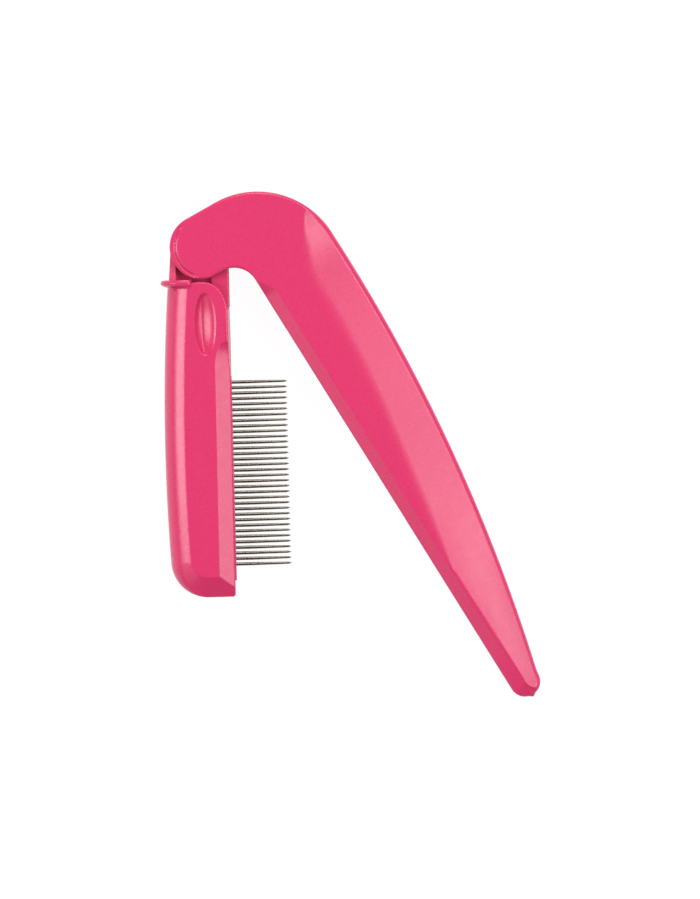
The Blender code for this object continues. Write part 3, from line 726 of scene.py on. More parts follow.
@dataclass
class Handle:
    """The handle: a long tapering shell, forked at the hinge and slotted on its inner edge."""

    place: OwnFrame
    finish: MouldedPlastic = field(default_factory=MouldedPlastic)
    face: float = 4.5 * MM
    end_radius: float = 5.13 * MM
    neck_lower: float = 4.95 * MM
    inner_line: float = 4.53 * MM
    fillet_radius: float = 4.0 * MM
    fillet_x: float = 9.0 * MM
    elbow_radius: float = 14.11 * MM
    elbow_centre: Point = (9.19 * MM, 4.8 * MM)
    back_radius: float = 273.0 * MM
    back_start: float = 14.06 * MM
    back_height: float = 18.94 * MM
    tip_radius: float = 2.45 * MM
    tip_x: float = 86.35 * MM
    tip_arc: tuple[float, float] = (-88.0, 76.0)
    tip_nub: float = 0.32 * MM
    tip_nub_place: float = 0.52
    tip_nub_share: float = 0.05
    tip_facet: float = 1.95 * MM
    tip_slope: float = 0.4
    tip_drop: float = 0.75 * MM
    neck_round: float = 0.42 * MM
    chamfer_width: float = 2.1 * MM
    chamfer_drop: float = 1.2 * MM
    chamfer_start: float = 9.0 * MM
    chamfer_full: float = 12.6 * MM
    rim_round: float = 0.28 * MM
    back_round: float = 1.0 * MM
    ridge_start: float = 65.0 * MM
    ridge_low: float = 2.7 * MM
    ridge_powers: tuple[float, float] = (1.6, 1.35)
    crease_bend: float = 0.12 * MM
    ridge_bend: float = 0.003 * MM
    elbow_slope: float = -0.5
    elbow_fade: float = 3.0 * MM
    facet_crease: tuple[Point, ...] = (
        (11.0 * MM, 13.2 * MM),
        (14.0 * MM, 12.35 * MM),
        (20.0 * MM, 12.25 * MM),
        (27.0 * MM, 11.9 * MM),
        (35.0 * MM, 11.1 * MM),
        (45.0 * MM, 9.6 * MM),
        (55.0 * MM, 8.1 * MM),
        (65.0 * MM, 6.63 * MM),
    )
    facet_edge: tuple[Point, ...] = (
        (8.0 * MM, 3.45 * MM),
        (14.0 * MM, 3.5 * MM),
        (40.0 * MM, 3.15 * MM),
        (61.5 * MM, 2.75 * MM),
        (75.0 * MM, 2.30 * MM),
        (87.0 * MM, 1.70 * MM),
    )
    facet_crown: tuple[Point, ...] = (
        (55.0 * MM, 0.0),
        (65.0 * MM, 0.25),
        (75.0 * MM, 0.35),
        (82.0 * MM, 0.25),
        (86.0 * MM, 0.0),
    )
    facet_bend: tuple[Point, ...] = (
        (8.0 * MM, 0.9 * MM),
        (12.0 * MM, 0.95 * MM),
        (18.0 * MM, 1.0 * MM),
        (55.0 * MM, 0.9 * MM),
        (65.0 * MM, 0.15 * MM),
    )
    fork_radius: float = 8.6 * MM
    fork_gap: float = 6.0 * MM
    slot: tuple[float, float] = (18.6 * MM, 54.4 * MM)
    slot_depth: float = 9.35 * MM
    slot_width: float = 5.0 * MM
    ledge_radius: float = 4.88 * MM
    ledge_centre: Point = (0.25 * MM, 0.56 * MM)
    ledge_round: float = 0.42 * MM
    ledge_arc: tuple[float, float] = (186.0, 322.0)
    ledge_fade: float = 24.0
    ledge_groove: tuple[Point, ...] = (
        (0.02 * MM, -0.42 * MM),
        (0.1 * MM, -0.47 * MM),
        (0.22 * MM, -0.4 * MM),
    )
    ledge_slope: tuple[Point, ...] = (
        (0.32 * MM, -0.38 * MM),
        (0.9 * MM, -0.56 * MM),
        (2.0 * MM, -0.95 * MM),
    )
    seam: float = 0.02 * MM

    @property
    def tip_centre(self) -> Point:
        """Return the centre of the round tip, where the ridge ends."""
        return (self.tip_x, self.inner_line + self.tip_radius)

    def back_y(self, x: float) -> float:
        """Return y on the outer edge, a long shallow arc."""
        return self.back_height - (x - self.back_start) ** 2 / (2 * self.back_radius)

    def crease_y(self, x: float) -> float:
        """Return y where the flat face meets the outer facet."""
        start, across = self.facet_crease[0]
        if x < start:
            return across + self.elbow_slope * (x - start)
        return read_table(smooth_rows(self.facet_crease, 8), x)

    def ridge(self, x: float) -> Point:
        """Return y and height of the ridge in which the facets meet near the tip."""
        t = (x - self.ridge_start) / (self.tip_x - self.ridge_start)
        across, down = self.ridge_powers
        y = lerp(self.inner_line + self.chamfer_width, self.tip_centre[1], t**across)
        return y, lerp(self.face, self.ridge_low, t**down)

    def form(
        self, rim: float, face: float, radius: float, crease: float = 0.12 * MM, crown: float = 0.0
    ) -> EdgeForm:
        """Return an edge form with the handle's seam."""
        return EdgeForm(rim, face, radius, crease, crown, facet_steps=7, seam=self.seam)

    def inner_section(self, x: float) -> Section:
        """Return the section at the inner edge."""
        edge = (x, self.inner_line)
        if x > self.ridge_start:
            y, height = self.ridge(x)
            rim = height - self.chamfer_drop * height / self.face
            return self.form(rim, height, self.rim_round).section(edge, (x, y))
        grown = ease((x - self.chamfer_start) / (self.chamfer_full - self.chamfer_start))
        width = lerp(self.neck_round * 1.5, self.chamfer_width, grown)
        rim = self.face - self.chamfer_drop * grown
        radius = lerp(self.neck_round, self.rim_round, grown)
        return self.form(rim, self.face, radius).section(edge, (x, self.inner_line + width))

    def outer_section(self, x: float) -> Section:
        """Return the section at the outer edge, along the arm."""
        edge = (x, self.back_y(x))
        rim = read_table(self.facet_edge, x)
        crown = read_table(self.facet_crown, x)
        crease = read_table(self.facet_bend, x)
        if x > self.ridge_start:
            y, height = self.ridge(x)
            return self.form(rim, height, self.back_round, crease, crown).section(edge, (x, y))
        middle = self.crease_y(x)
        crease = min(crease, 0.7 * (middle - self.inner_line - self.chamfer_width) + 0.04 * MM)
        form = self.form(rim, self.face, self.back_round, crease, crown)
        return form.section(edge, (x, middle - crease))

    def tip_crease(self, t: float) -> tuple[Point, float]:
        """Work out the end bevel's crease, which bulges from the ridge's end to the tip.

        Args:
            t: Share of the way round the tip.

        Returns:
            A point of the crease and its height.
        """
        angle = math.radians(lerp(*self.tip_arc, t))
        reach = self.tip_facet * ease(angle / math.radians(30.0)) * ease((1.0 - t) / 0.15)
        point = (
            self.tip_centre[0] + reach * math.cos(angle),
            self.tip_centre[1] + reach * math.sin(angle),
        )
        fall = 0.1 * reach * math.cos(angle) + self.tip_slope * reach * math.sin(angle)
        return point, self.ridge_low - fall

    def tip_sections(self) -> list[Section]:
        """Return the sections round the tip, with the stub of the mould's gate.

        Their crease is bent, and the bend is all but gone where the back facet's ridge arrives.
        The end bevel goes on from the crease to the ridge's end.
        """
        sections = []
        steps = 40
        centre = Vector(self.tip_centre)
        for i, edge in enumerate(arc(self.tip_centre, self.tip_radius, *self.tip_arc, steps)):
            t = i / steps
            rim = lerp(self.ridge_low - self.tip_drop, read_table(self.facet_edge, edge[0]), t)
            nub = self.tip_nub * math.exp(-(((t - self.tip_nub_place) / self.tip_nub_share) ** 2))
            out = Vector(edge) + (Vector(edge) - centre).normalized() * nub
            crease, height = self.tip_crease(t)
            crease_bend = lerp(self.crease_bend, self.ridge_bend, ease((t - 0.62) / 0.16))
            form = self.form(rim, height, lerp(self.rim_round, self.back_round, t), crease_bend)
            rows = form.section((out.x, out.y), crease)
            if (Vector(crease) - centre).length > 0.005 * MM:
                ridge_end = (*self.tip_centre, self.ridge_low)
                beside = tuple(lerp(a, b, 0.08) for a, b in zip(rows[-1], ridge_end))
                rows += [beside, ridge_end]
            sections.append(rows)
        return sections

    def elbow_sections(self) -> list[Section]:
        """Return the sections round the elbow, where the outer facet runs out."""
        sections = []
        steps = 56
        near = self.elbow_centre[0]
        start = self.crease_y(near) - self.elbow_centre[1]
        for edge in arc(self.elbow_centre, self.elbow_radius, 90.0, 180.0, steps):
            outward = (Vector(edge) - Vector(self.elbow_centre)).normalized()
            lean = outward.y - self.elbow_slope * outward.x
            reach = start / max(lean, start / self.elbow_radius)
            width = self.elbow_radius - reach
            facet = ease((width - 2 * self.neck_round) / self.elbow_fade)
            crease = max(self.crease_bend, facet * read_table(self.facet_bend, near))
            width = max(width, 2 * self.neck_round) + crease
            flat = Vector(edge) - outward * width
            rim = lerp(self.face, read_table(self.facet_edge, near), facet)
            crown = facet * read_table(self.facet_crown, near)
            radius = lerp(self.neck_round, self.back_round, facet)
            form = self.form(rim, self.face, radius, crease, crown)
            sections.append(form.section(edge, (flat.x, flat.y)))
        return sections

    def neck_sections(self) -> list[Section]:
        """Return the sections of the round end and of the fillet beside it."""
        form = self.form(self.face, self.face, self.neck_round)
        lower = 360.0 - math.degrees(math.acos(self.neck_lower / self.end_radius))
        fillet = (self.fillet_x, self.inner_line - self.fillet_radius)
        sections = []
        for edge in arc((0.0, 0.0), self.end_radius, 180.0, lower, 84):
            flat = Vector(edge) - Vector(edge).normalized() * 2 * self.neck_round
            sections.append(form.section(edge, (flat.x, flat.y)))
        for edge in arc(fillet, self.fillet_radius, 180.0, 92.0, 30):
            inward = (Vector(edge) - Vector(fillet)).normalized()
            flat = Vector(edge) + inward * 2 * self.neck_round
            sections.append(form.section(edge, (flat.x, flat.y)))
        return sections

    def sections(self) -> list[Section]:
        """Return all sections, counterclockwise."""
        fine = 18
        grown = [lerp(self.chamfer_start, self.chamfer_full, i / fine) for i in range(fine)]
        arm = [lerp(self.chamfer_full, self.ridge_start, i / 46) for i in range(47)]
        ridge = [lerp(self.ridge_start, self.tip_x, i / 30) for i in range(1, 30)]
        sections = [self.inner_section(x) for x in grown + arm + ridge]
        sections += self.tip_sections()
        sections += [self.outer_section(x) for x in reversed(grown[4:] + arm + ridge)]
        sections += self.elbow_sections()
        sections += self.neck_sections()
        return sections

    def ledge(self, side: Side) -> bpy.types.Mesh:
        """Return what is cut away for the crescent ledge of one cheek.

        The step has a rounded edge and a fine groove at its foot, and the ledge slopes down to
        the outline. It fades out at both ends.
        """
        turn = self.ledge_round
        edge = [
            (turn * (math.sin(math.radians(a)) - 1), turn * (math.cos(math.radians(a)) - 1))
            for a in range(18, 91, 9)
        ]
        rows = [(-turn - 0.12 * MM, 0.05 * MM), *edge, *self.ledge_groove, *self.ledge_slope]
        first, last = self.ledge_arc
        above = 1.2 * MM
        rings = []
        steps = 110
        for i in range(steps + 1):
            angle = lerp(first, last, i / steps)
            full = ease((angle - first) / self.ledge_fade)
            full *= ease((last - angle) / self.ledge_fade)
            out = Vector((math.cos(math.radians(angle)), math.sin(math.radians(angle))))
            ring = [(r, z * full + 0.03 * MM * (1 - full)) for r, z in rows]
            ring += [(rows[-1][0], above), (rows[0][0], above)]
            points = []
            for r, z in ring:
                place = Vector(self.ledge_centre) + out * (self.ledge_radius + r)
                points.append((place.x, place.y, side.value * (self.face + z)))
            rings.append(points)
        return loft_rings(f"ledge_{side.name.lower()}", rings)

    def mesh(self) -> bpy.types.Mesh:
        """Return the handle's mesh in its own frame."""
        shell = loft_moulding("handle_shell", self.sections())
        fork = disc_mesh("fork", self.fork_radius, self.fork_gap / 2, 128)
        slot = box_mesh(
            "slot",
            (self.slot[0], 0.0, -self.slot_width / 2),
            (self.slot[1], self.inner_line + self.slot_depth, self.slot_width / 2),
        )
        steps = [(Operation.CUT, fork), (Operation.CUT, slot)]
        steps += [(Operation.CUT, self.ledge(side)) for side in Side]
        made = carve(shell, steps)
        finish_mesh(made)
        return made

    def build(self) -> bpy.types.Object:
        """Build the handle, dress it and hang it on its body."""
        mesh = self.mesh()
        self.place.settle(mesh)
        piece = show("handle_shell", mesh, self.finish.build("handle_plastic"))
        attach(piece, "handle")
        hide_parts("handle")
        return piece


@dataclass
class CombHead:
    """The comb head: a dimpled body, the web that turns in the fork, and a thumb rib."""

    place: OwnFrame
    finish: MouldedPlastic = field(default_factory=MouldedPlastic)
    face: float = 4.0 * MM
    spine_radius: float = 325.0 * MM
    spine_middle: Point = (32.5 * MM, -6.65 * MM)
    spine_inset: float = 3.25 * MM
    spine_sweep: float = 68.0
    spine_crease: float = 0.2 * MM
    body_top: float = 5.55 * MM
    corner_radius: float = 5.9 * MM
    corner_centre: Point = (50.15 * MM, -0.25 * MM)
    toe_radius: float = 0.45 * MM
    toe_slope: float = 0.64
    toe_crease: float = 52.75 * MM
    edge_top: float = 4.32 * MM
    edge_end: float = 4.04 * MM
    edge_draft: float = 0.36 * MM
    needle_draft: float = 0.1 * MM
    draft_change: float = 4.0 * MM
    chamfer_width: float = 2.7 * MM
    chamfer_rim: float = 2.83 * MM
    chamfer_full: float = 19.2 * MM
    chamfer_start: float = 15.2 * MM
    arch_centre: Point = (11.5 * MM, -0.8 * MM)
    arch_half_length: float = 6.0 * MM
    arch_half_width: float = 4.68 * MM
    arch_power: float = 0.8
    arch_arc: tuple[float, float] = (8.0, 88.0)
    small_round: float = 0.32 * MM
    web_face: float = 2.9 * MM
    web_round: float = 0.3 * MM
    web_soft: float = 0.12 * MM
    web_foot: float = 10.4 * MM
    knuckle_radius: float = 4.95 * MM
    wall_top: Point = (0.95 * MM, -5.05 * MM)
    wall_foot: Point = (5.9 * MM, -5.42 * MM)
    wall_inner: float = -4.22 * MM
    plate_inner: float = 1.45 * MM
    pocket_floor: float = 1.8 * MM
    rib_start: float = 5.2 * MM
    rib_outer: float = -6.7 * MM
    rib_inner: float = -1.8 * MM
    rib_height: float = 4.5 * MM
    rib_corner: float = 3.2 * MM
    rib_end: float = 0.7 * MM
    rib_splay: float = 0.35 * MM
    rib_section: tuple[Point, ...] = (
        (0.0, 0.4),
        (0.08 * MM, 0.15),
        (0.35 * MM, 0.0),
        (0.6 * MM, 0.0),
        (0.85 * MM, 0.12),
        (1.0 * MM, 0.35),
        (1.12 * MM, 0.6),
        (1.3 * MM, 0.85),
        (1.65 * MM, 1.1),
    )
    dimple_centre: Point = (12.3 * MM, 0.4 * MM)
    dimple_half: Point = (4.85 * MM, 1.85 * MM)
    dimple_depth: float = 1.1 * MM
    dimple_drop: float = 0.22 * MM
    dimple_wall: float = 6.0 * MM
    dimple_lean: float = 0.13
    dimple_fold: float = 0.36
    dimple_valley: float = -0.6 * MM
    dimple_soft: float = 0.2 * MM
    dimple_round: float = 0.36 * MM
    seam: float = 0.02 * MM

    @property
    def end(self) -> float:
        """Return x of the head's far end."""
        return self.corner_centre[0] + self.corner_radius

    def edge_y(self, x: float) -> float:
        """Return y of the front edge at x."""
        return lerp(self.edge_top, self.edge_end, x / self.end)

    def spine_point(self, x: float) -> Point:
        """Return the point of the convex back edge at x."""
        rise = (x - self.spine_middle[0]) ** 2 / (2 * self.spine_radius)
        return (x, self.spine_middle[1] + rise)

    def section(
        self, edge: Point, flat: Point, rim: float, radius: float, draft: float = 0.0
    ) -> Section:
        """Return a section of the body."""
        form = EdgeForm(rim, self.face, radius, draft=draft, rim_steps=16, seam=self.seam)
        return form.section(edge, flat)

    def spine_profile(self, share: float) -> Point:
        """Return inset and height on the rounded back edge, which meets the face in a crease."""
        sweep = math.radians(self.spine_sweep)
        inset = self.spine_inset * (1 - math.cos(sweep * share)) / (1 - math.cos(sweep))
        return inset, self.face * math.sin(sweep * share) / math.sin(sweep)

    def spine_section(self, edge: Point, towards: Point) -> Section:
        """Return a section with the rounded back edge, with as many points as any other."""
        steps = 20
        rows = [(-self.seam, 0.0), (0.0, SEAM_TOP)]
        rows += [self.spine_profile(lerp(0.04, 0.96, i / steps)) for i in range(steps)]
        before = self.spine_profile(0.96)
        flat = (self.spine_inset + self.spine_crease, self.face)
        rows += bend(before, (self.spine_inset, self.face), flat, 4)
        rows.append((flat[0] + BESIDE, self.face))
        return place_rows(edge, towards, rows)

    def spine_sections(self) -> list[Section]:
        """Return the sections along the rounded back edge."""
        sections = []
        steps = 40
        for i in range(steps):
            x, y = self.spine_point(lerp(self.body_top, self.corner_centre[0], i / steps))
            lean = 2 * self.small_round if i == 0 else 0.0
            sections.append(self.spine_section((x, y), (x + lean, y + self.spine_inset)))
        return sections

    def corner_sections(self) -> list[Section]:
        """Return the sections round the far corner, from the round back to the bevelled end."""
        sections = []
        steps = 40
        end_rim = self.face - self.toe_slope * (self.end - self.toe_crease)
        for i, edge in enumerate(arc(self.corner_centre, self.corner_radius, -90.0, 0.0, steps)):
            inward = (Vector(self.corner_centre) - Vector(edge)).normalized()
            toe_flat = Vector(edge) + inward * (self.end - self.toe_crease)
            rounded = self.spine_section(edge, self.corner_centre)
            bevelled = self.section(edge, tuple(toe_flat), end_rim, self.small_round)
            sections.append(blend_sections(rounded, bevelled, ease(i / steps)))
        return sections

    def toe_sections(self) -> list[Section]:
        """Return the sections along the bevelled end and round the small corner."""
        sections = []
        end_rim = self.face - self.toe_slope * (self.end - self.toe_crease)
        chamfer_flat = self.edge_y(self.toe_crease) - self.chamfer_width
        corner = (self.end - self.toe_radius, self.edge_y(self.end) - self.toe_radius)
        for i in range(1, 13):
            y = lerp(self.corner_centre[1], corner[1], i / 13)
            flat = (self.toe_crease, min(y, chamfer_flat))
            sections.append(self.section((self.end, y), flat, end_rim, self.small_round))
        for i, edge in enumerate(arc(corner, self.toe_radius, 0.0, 90.0, 8)):
            rim = self.face - self.toe_slope * (edge[0] - self.toe_crease)
            flat = (self.toe_crease, chamfer_flat)
            draft = self.needle_draft * i / 8
            sections.append(self.section(edge, flat, rim, self.small_round, draft))
        return sections

    def front_sections(self) -> list[Section]:
        """Return the sections along the front edge, whose chamfer fades out near the hinge.

        The side leans inwards more on the stretch without needles.
        """
        sections = []
        meet = self.toe_crease + (self.face - self.chamfer_rim) / self.toe_slope
        flat = (self.toe_crease, self.edge_y(self.toe_crease) - self.chamfer_width)
        edge = (meet, self.edge_y(meet))
        rim = self.chamfer_rim
        sections.append(self.section(edge, flat, rim, self.small_round, self.needle_draft))
        along = [lerp(self.toe_crease, self.chamfer_full, i / 26) for i in range(27)]
        fade = [lerp(self.chamfer_full, self.chamfer_start, i / 20) for i in range(1, 21)]
        for x in along + fade:
            y = self.edge_y(x)
            t = (x - self.chamfer_start) / (self.chamfer_full - self.chamfer_start)
            grown = math.sqrt(1 - (1 - min(max(t, 0.0), 1.0)) ** 2)
            width = lerp(self.edge_draft + 2 * self.small_round, self.chamfer_width, grown)
            rim = lerp(self.face, self.chamfer_rim, grown)
            flat = (x, y - width)
            near = ease(0.5 + (self.chamfer_full - x) / self.draft_change)
            draft = lerp(self.needle_draft, self.edge_draft, near)
            sections.append(self.section((x, y), flat, rim, self.small_round, draft))
        return sections

    def arch_sections(self) -> list[Section]:
        """Return the sections over the body's arched top, which faces the round end."""
        sections = []
        steps = 56
        power = self.arch_power
        for i in range(steps + 1):
            angle = math.radians(lerp(*self.arch_arc, i / steps))
            across, along = math.cos(angle), math.sin(angle)
            outward = Vector(
                (
                    -(along ** (2 - power)) / self.arch_half_length,
                    across ** (2 - power) / self.arch_half_width,
                )
            ).normalized()
            x = self.arch_centre[0] - self.arch_half_length * along**power
            y = self.arch_centre[1] + self.arch_half_width * across**power
            draft = self.edge_draft * (1 - ease(i / steps))
            edge = tuple(Vector((x, y)) + outward * draft)
            flat = tuple(Vector((x, y)) - outward * 2 * self.small_round)
            sections.append(self.section(edge, flat, self.face, self.small_round, draft))
        edge = (self.body_top, self.rib_inner + 0.7 * MM)
        flat = (self.body_top + 2 * self.small_round, edge[1] - self.small_round)
        sections.append(self.section(edge, flat, self.face, self.small_round))
        return sections

    def web(self) -> bpy.types.Mesh:
        """Return the web: knuckle, front plate and back wall, with a pocket in each face."""
        foot = self.web_foot
        front = self.edge_y(0.0) - 0.05 * MM
        meet = math.degrees(math.asin(front / self.knuckle_radius))
        wall = math.degrees(math.atan2(self.wall_top[1], 0.2 * MM))
        outline = [self.wall_top, self.wall_foot, (foot, -3.0 * MM)]
        outline += [(foot, front - 0.35 * MM), (foot - 0.8 * MM, front)]
        outline += arc((0.0, 0.0), self.knuckle_radius, meet, 360.0 + wall, 96)
        plate = slab_mesh("web", outline, -self.web_face, self.web_face, self.web_round)
        start = math.degrees(math.acos(self.plate_inner / self.knuckle_radius))
        stop = math.degrees(math.asin(-self.wall_inner / self.knuckle_radius))
        far = self.body_top + 1.2 * MM
        hollow = arc((0.0, 0.0), self.knuckle_radius, 90.0 - start, -stop, 48)
        hollow += [(far, self.wall_inner), (far, self.plate_inner)]
        above = self.web_face + 1.0 * MM
        front_cut = slab_mesh("pocket_front", hollow, self.pocket_floor, above)
        rear_cut = slab_mesh("pocket_rear", hollow, -above, -self.pocket_floor)
        cuts = [(Operation.CUT, front_cut), (Operation.CUT, rear_cut)]
        cuts += [(Operation.CUT, self.wall_slope(side)) for side in Side]
        made = carve(plate, cuts)
        level = self.web_face - 0.02 * MM
        soften(made, self.web_soft, lambda point: abs(point.z) > level)
        return made

    def wall_slope(self, side: Side) -> bpy.types.Mesh:
        """Return what is cut from the back wall, whose top leans outwards."""
        low, high = self.web_face - 0.45 * MM, self.web_face + 0.05 * MM
        outer, inner = -6.0 * MM, self.wall_inner + 0.1 * MM
        section = [(outer, low), (inner, high), (inner, self.face), (outer, self.face)]
        ends = (0.4 * MM, self.wall_foot[0] + 0.5 * MM)
        rings = [[(x, y, side.value * z) for y, z in section] for x in ends]
        return loft_rings(f"wall_slope_{side.name.lower()}", rings)

    def rib(self) -> bpy.types.Mesh:
        """Return the thumb rib, a collar that stands proud of both faces and sinks into them."""
        top = self.rib_height
        corner = (self.rib_outer + self.rib_corner, top - self.rib_corner)
        proud = arc(corner, self.rib_corner, 180.0, 90.0, 20)
        sweep = math.radians(self.spine_sweep)
        flush = []
        for _, z in proud:
            inset, height = self.spine_profile(math.asin(z / top * math.sin(sweep)) / sweep)
            flush.append((self.spine_point(self.rib_start)[1] + inset, height))
        end = arc((self.rib_inner - self.rib_end, top - self.rib_end), self.rib_end, 90.0, 0.0, 10)
        proud += end
        flush += [(y + self.rib_splay, z - top + self.face) for y, z in end]
        rings = []
        for along, share in smooth_rows(self.rib_section, 4):
            half = [(lerp(a[0], b[0], share), lerp(a[1], b[1], share)) for a, b in zip(proud, flush)]
            outline = half + [(y, -z) for y, z in reversed(half)]
            rings.append([(self.rib_start + along, y, z) for y, z in outline])
        return loft_rings("rib", rings)

    def dimple_height(self, x: float, y: float) -> float:
        """Work out the dimple's floor above the face, at a place seen from its middle.

        The floor is an oval bowl with a valley along it, nearer to the back edge, and it meets
        the face in a rounded rim.
        """
        out = math.hypot(x / self.dimple_half[0], y / self.dimple_half[1])
        bowl = self.dimple_fold * math.hypot(y - self.dimple_valley, self.dimple_soft)
        bowl += self.dimple_lean * y - self.dimple_drop
        bowl -= self.dimple_depth * math.sqrt(max(0.0, 1 - out * out))
        bowl += self.dimple_wall * max(0.0, out - 1)
        near = max(self.dimple_round - abs(bowl), 0.0)
        return min(0.0, bowl) - near * near / (4 * self.dimple_round)

    def dimple(self, side: Side) -> bpy.types.Mesh:
        """Return what is cut away for the dimple in one face.

        Its rim is looked for in every direction, by halving, where the floor comes up to the
        face. The rings between the middle and the rim lie closer together towards the rim.
        """
        around, steps = 128, 36
        rings = []
        rims = []
        for j in range(around):
            angle = 2 * math.pi * j / around
            way = (self.dimple_half[0] * math.cos(angle), self.dimple_half[1] * math.sin(angle))
            low, high = 0.5, 1.6
            for _ in range(24):
                middle = (low + high) / 2
                if self.dimple_height(way[0] * middle, way[1] * middle) < -0.002 * MM:
                    low = middle
                else:
                    high = middle
            rims.append((way[0] * low, way[1] * low))
        for i in range(steps + 1):
            share = math.sin(math.pi / 2 * (i + 0.4) / (steps + 0.4))
            ring = []
            for x, y in rims:
                height = self.dimple_height(x * share, y * share)
                ring.append(
                    (
                        self.dimple_centre[0] + x * share,
                        self.dimple_centre[1] + y * share,
                        side.value * (self.face + height),
                    )
                )
            rings.append(ring)
        rings.append([(x, y, side.value * (self.face + 1.0 * MM)) for x, y, _ in rings[-1]])
        return loft_rings(f"dimple_{side.name.lower()}", rings)

    def groove(self, bar: ToothBar) -> bpy.types.Mesh:
        """Return what is cut away for the tooth bar."""
        gap = bar.clearance
        low = (bar.start - gap, bar.face - bar.depth - gap, -bar.half_height - gap)
        high = (bar.end + gap, bar.face + 1.0 * MM, bar.half_height + gap)
        return box_mesh("groove", low, high)

    def mesh(self, bar: ToothBar) -> bpy.types.Mesh:
        """Return the head's mesh in its own frame, with room for the tooth bar."""
        sections = self.spine_sections() + self.corner_sections() + self.toe_sections()
        sections += self.front_sections() + self.arch_sections()
        body = loft_moulding("comb_head_shell", sections)
        steps = [(Operation.JOIN, self.web()), (Operation.JOIN, self.rib())]
        steps += [(Operation.CUT, self.dimple(side)) for side in Side]
        steps.append((Operation.CUT, self.groove(bar)))
        made = carve(body, steps)
        finish_mesh(made)
        return made

    def build(self, bar: ToothBar) -> bpy.types.Object:
        """Build the head, dress it and hang it on its body."""
        mesh = self.mesh(bar)
        self.place.settle(mesh)
        piece = show("comb_head_shell", mesh, self.finish.build("head_plastic"))
        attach(piece, "comb_head")
        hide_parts("comb_head")
        return piece


@dataclass
class ToothBar:
    """The strip that holds the needles, set in the head's front edge."""

    place: OwnFrame
    finish: MouldedPlastic = field(default_factory=MouldedPlastic)
    start: float = 20.6 * MM
    end: float = 53.5 * MM
    face: float = 4.26 * MM
    depth: float = 1.94 * MM
    half_height: float = 1.3 * MM
    clearance: float = 0.1 * MM
    edge: float = 0.15 * MM

    def build(self) -> bpy.types.Object:
        """Build the bar, dress it and hang it on its body."""
        low = (self.start, self.face - self.depth, -self.half_height)
        high = (self.end, self.face, self.half_height)
        mesh = box_mesh("tooth_bar_strip", low, high)
        soften(mesh, self.edge, lambda point: True, segments=3)
        finish_mesh(mesh, degrees=50.0)
        self.place.settle(mesh)
        piece = show("tooth_bar_strip", mesh, self.finish.build("bar_plastic"))
        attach(piece, "comb_head")
        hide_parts("tooth_bar")
        return piece


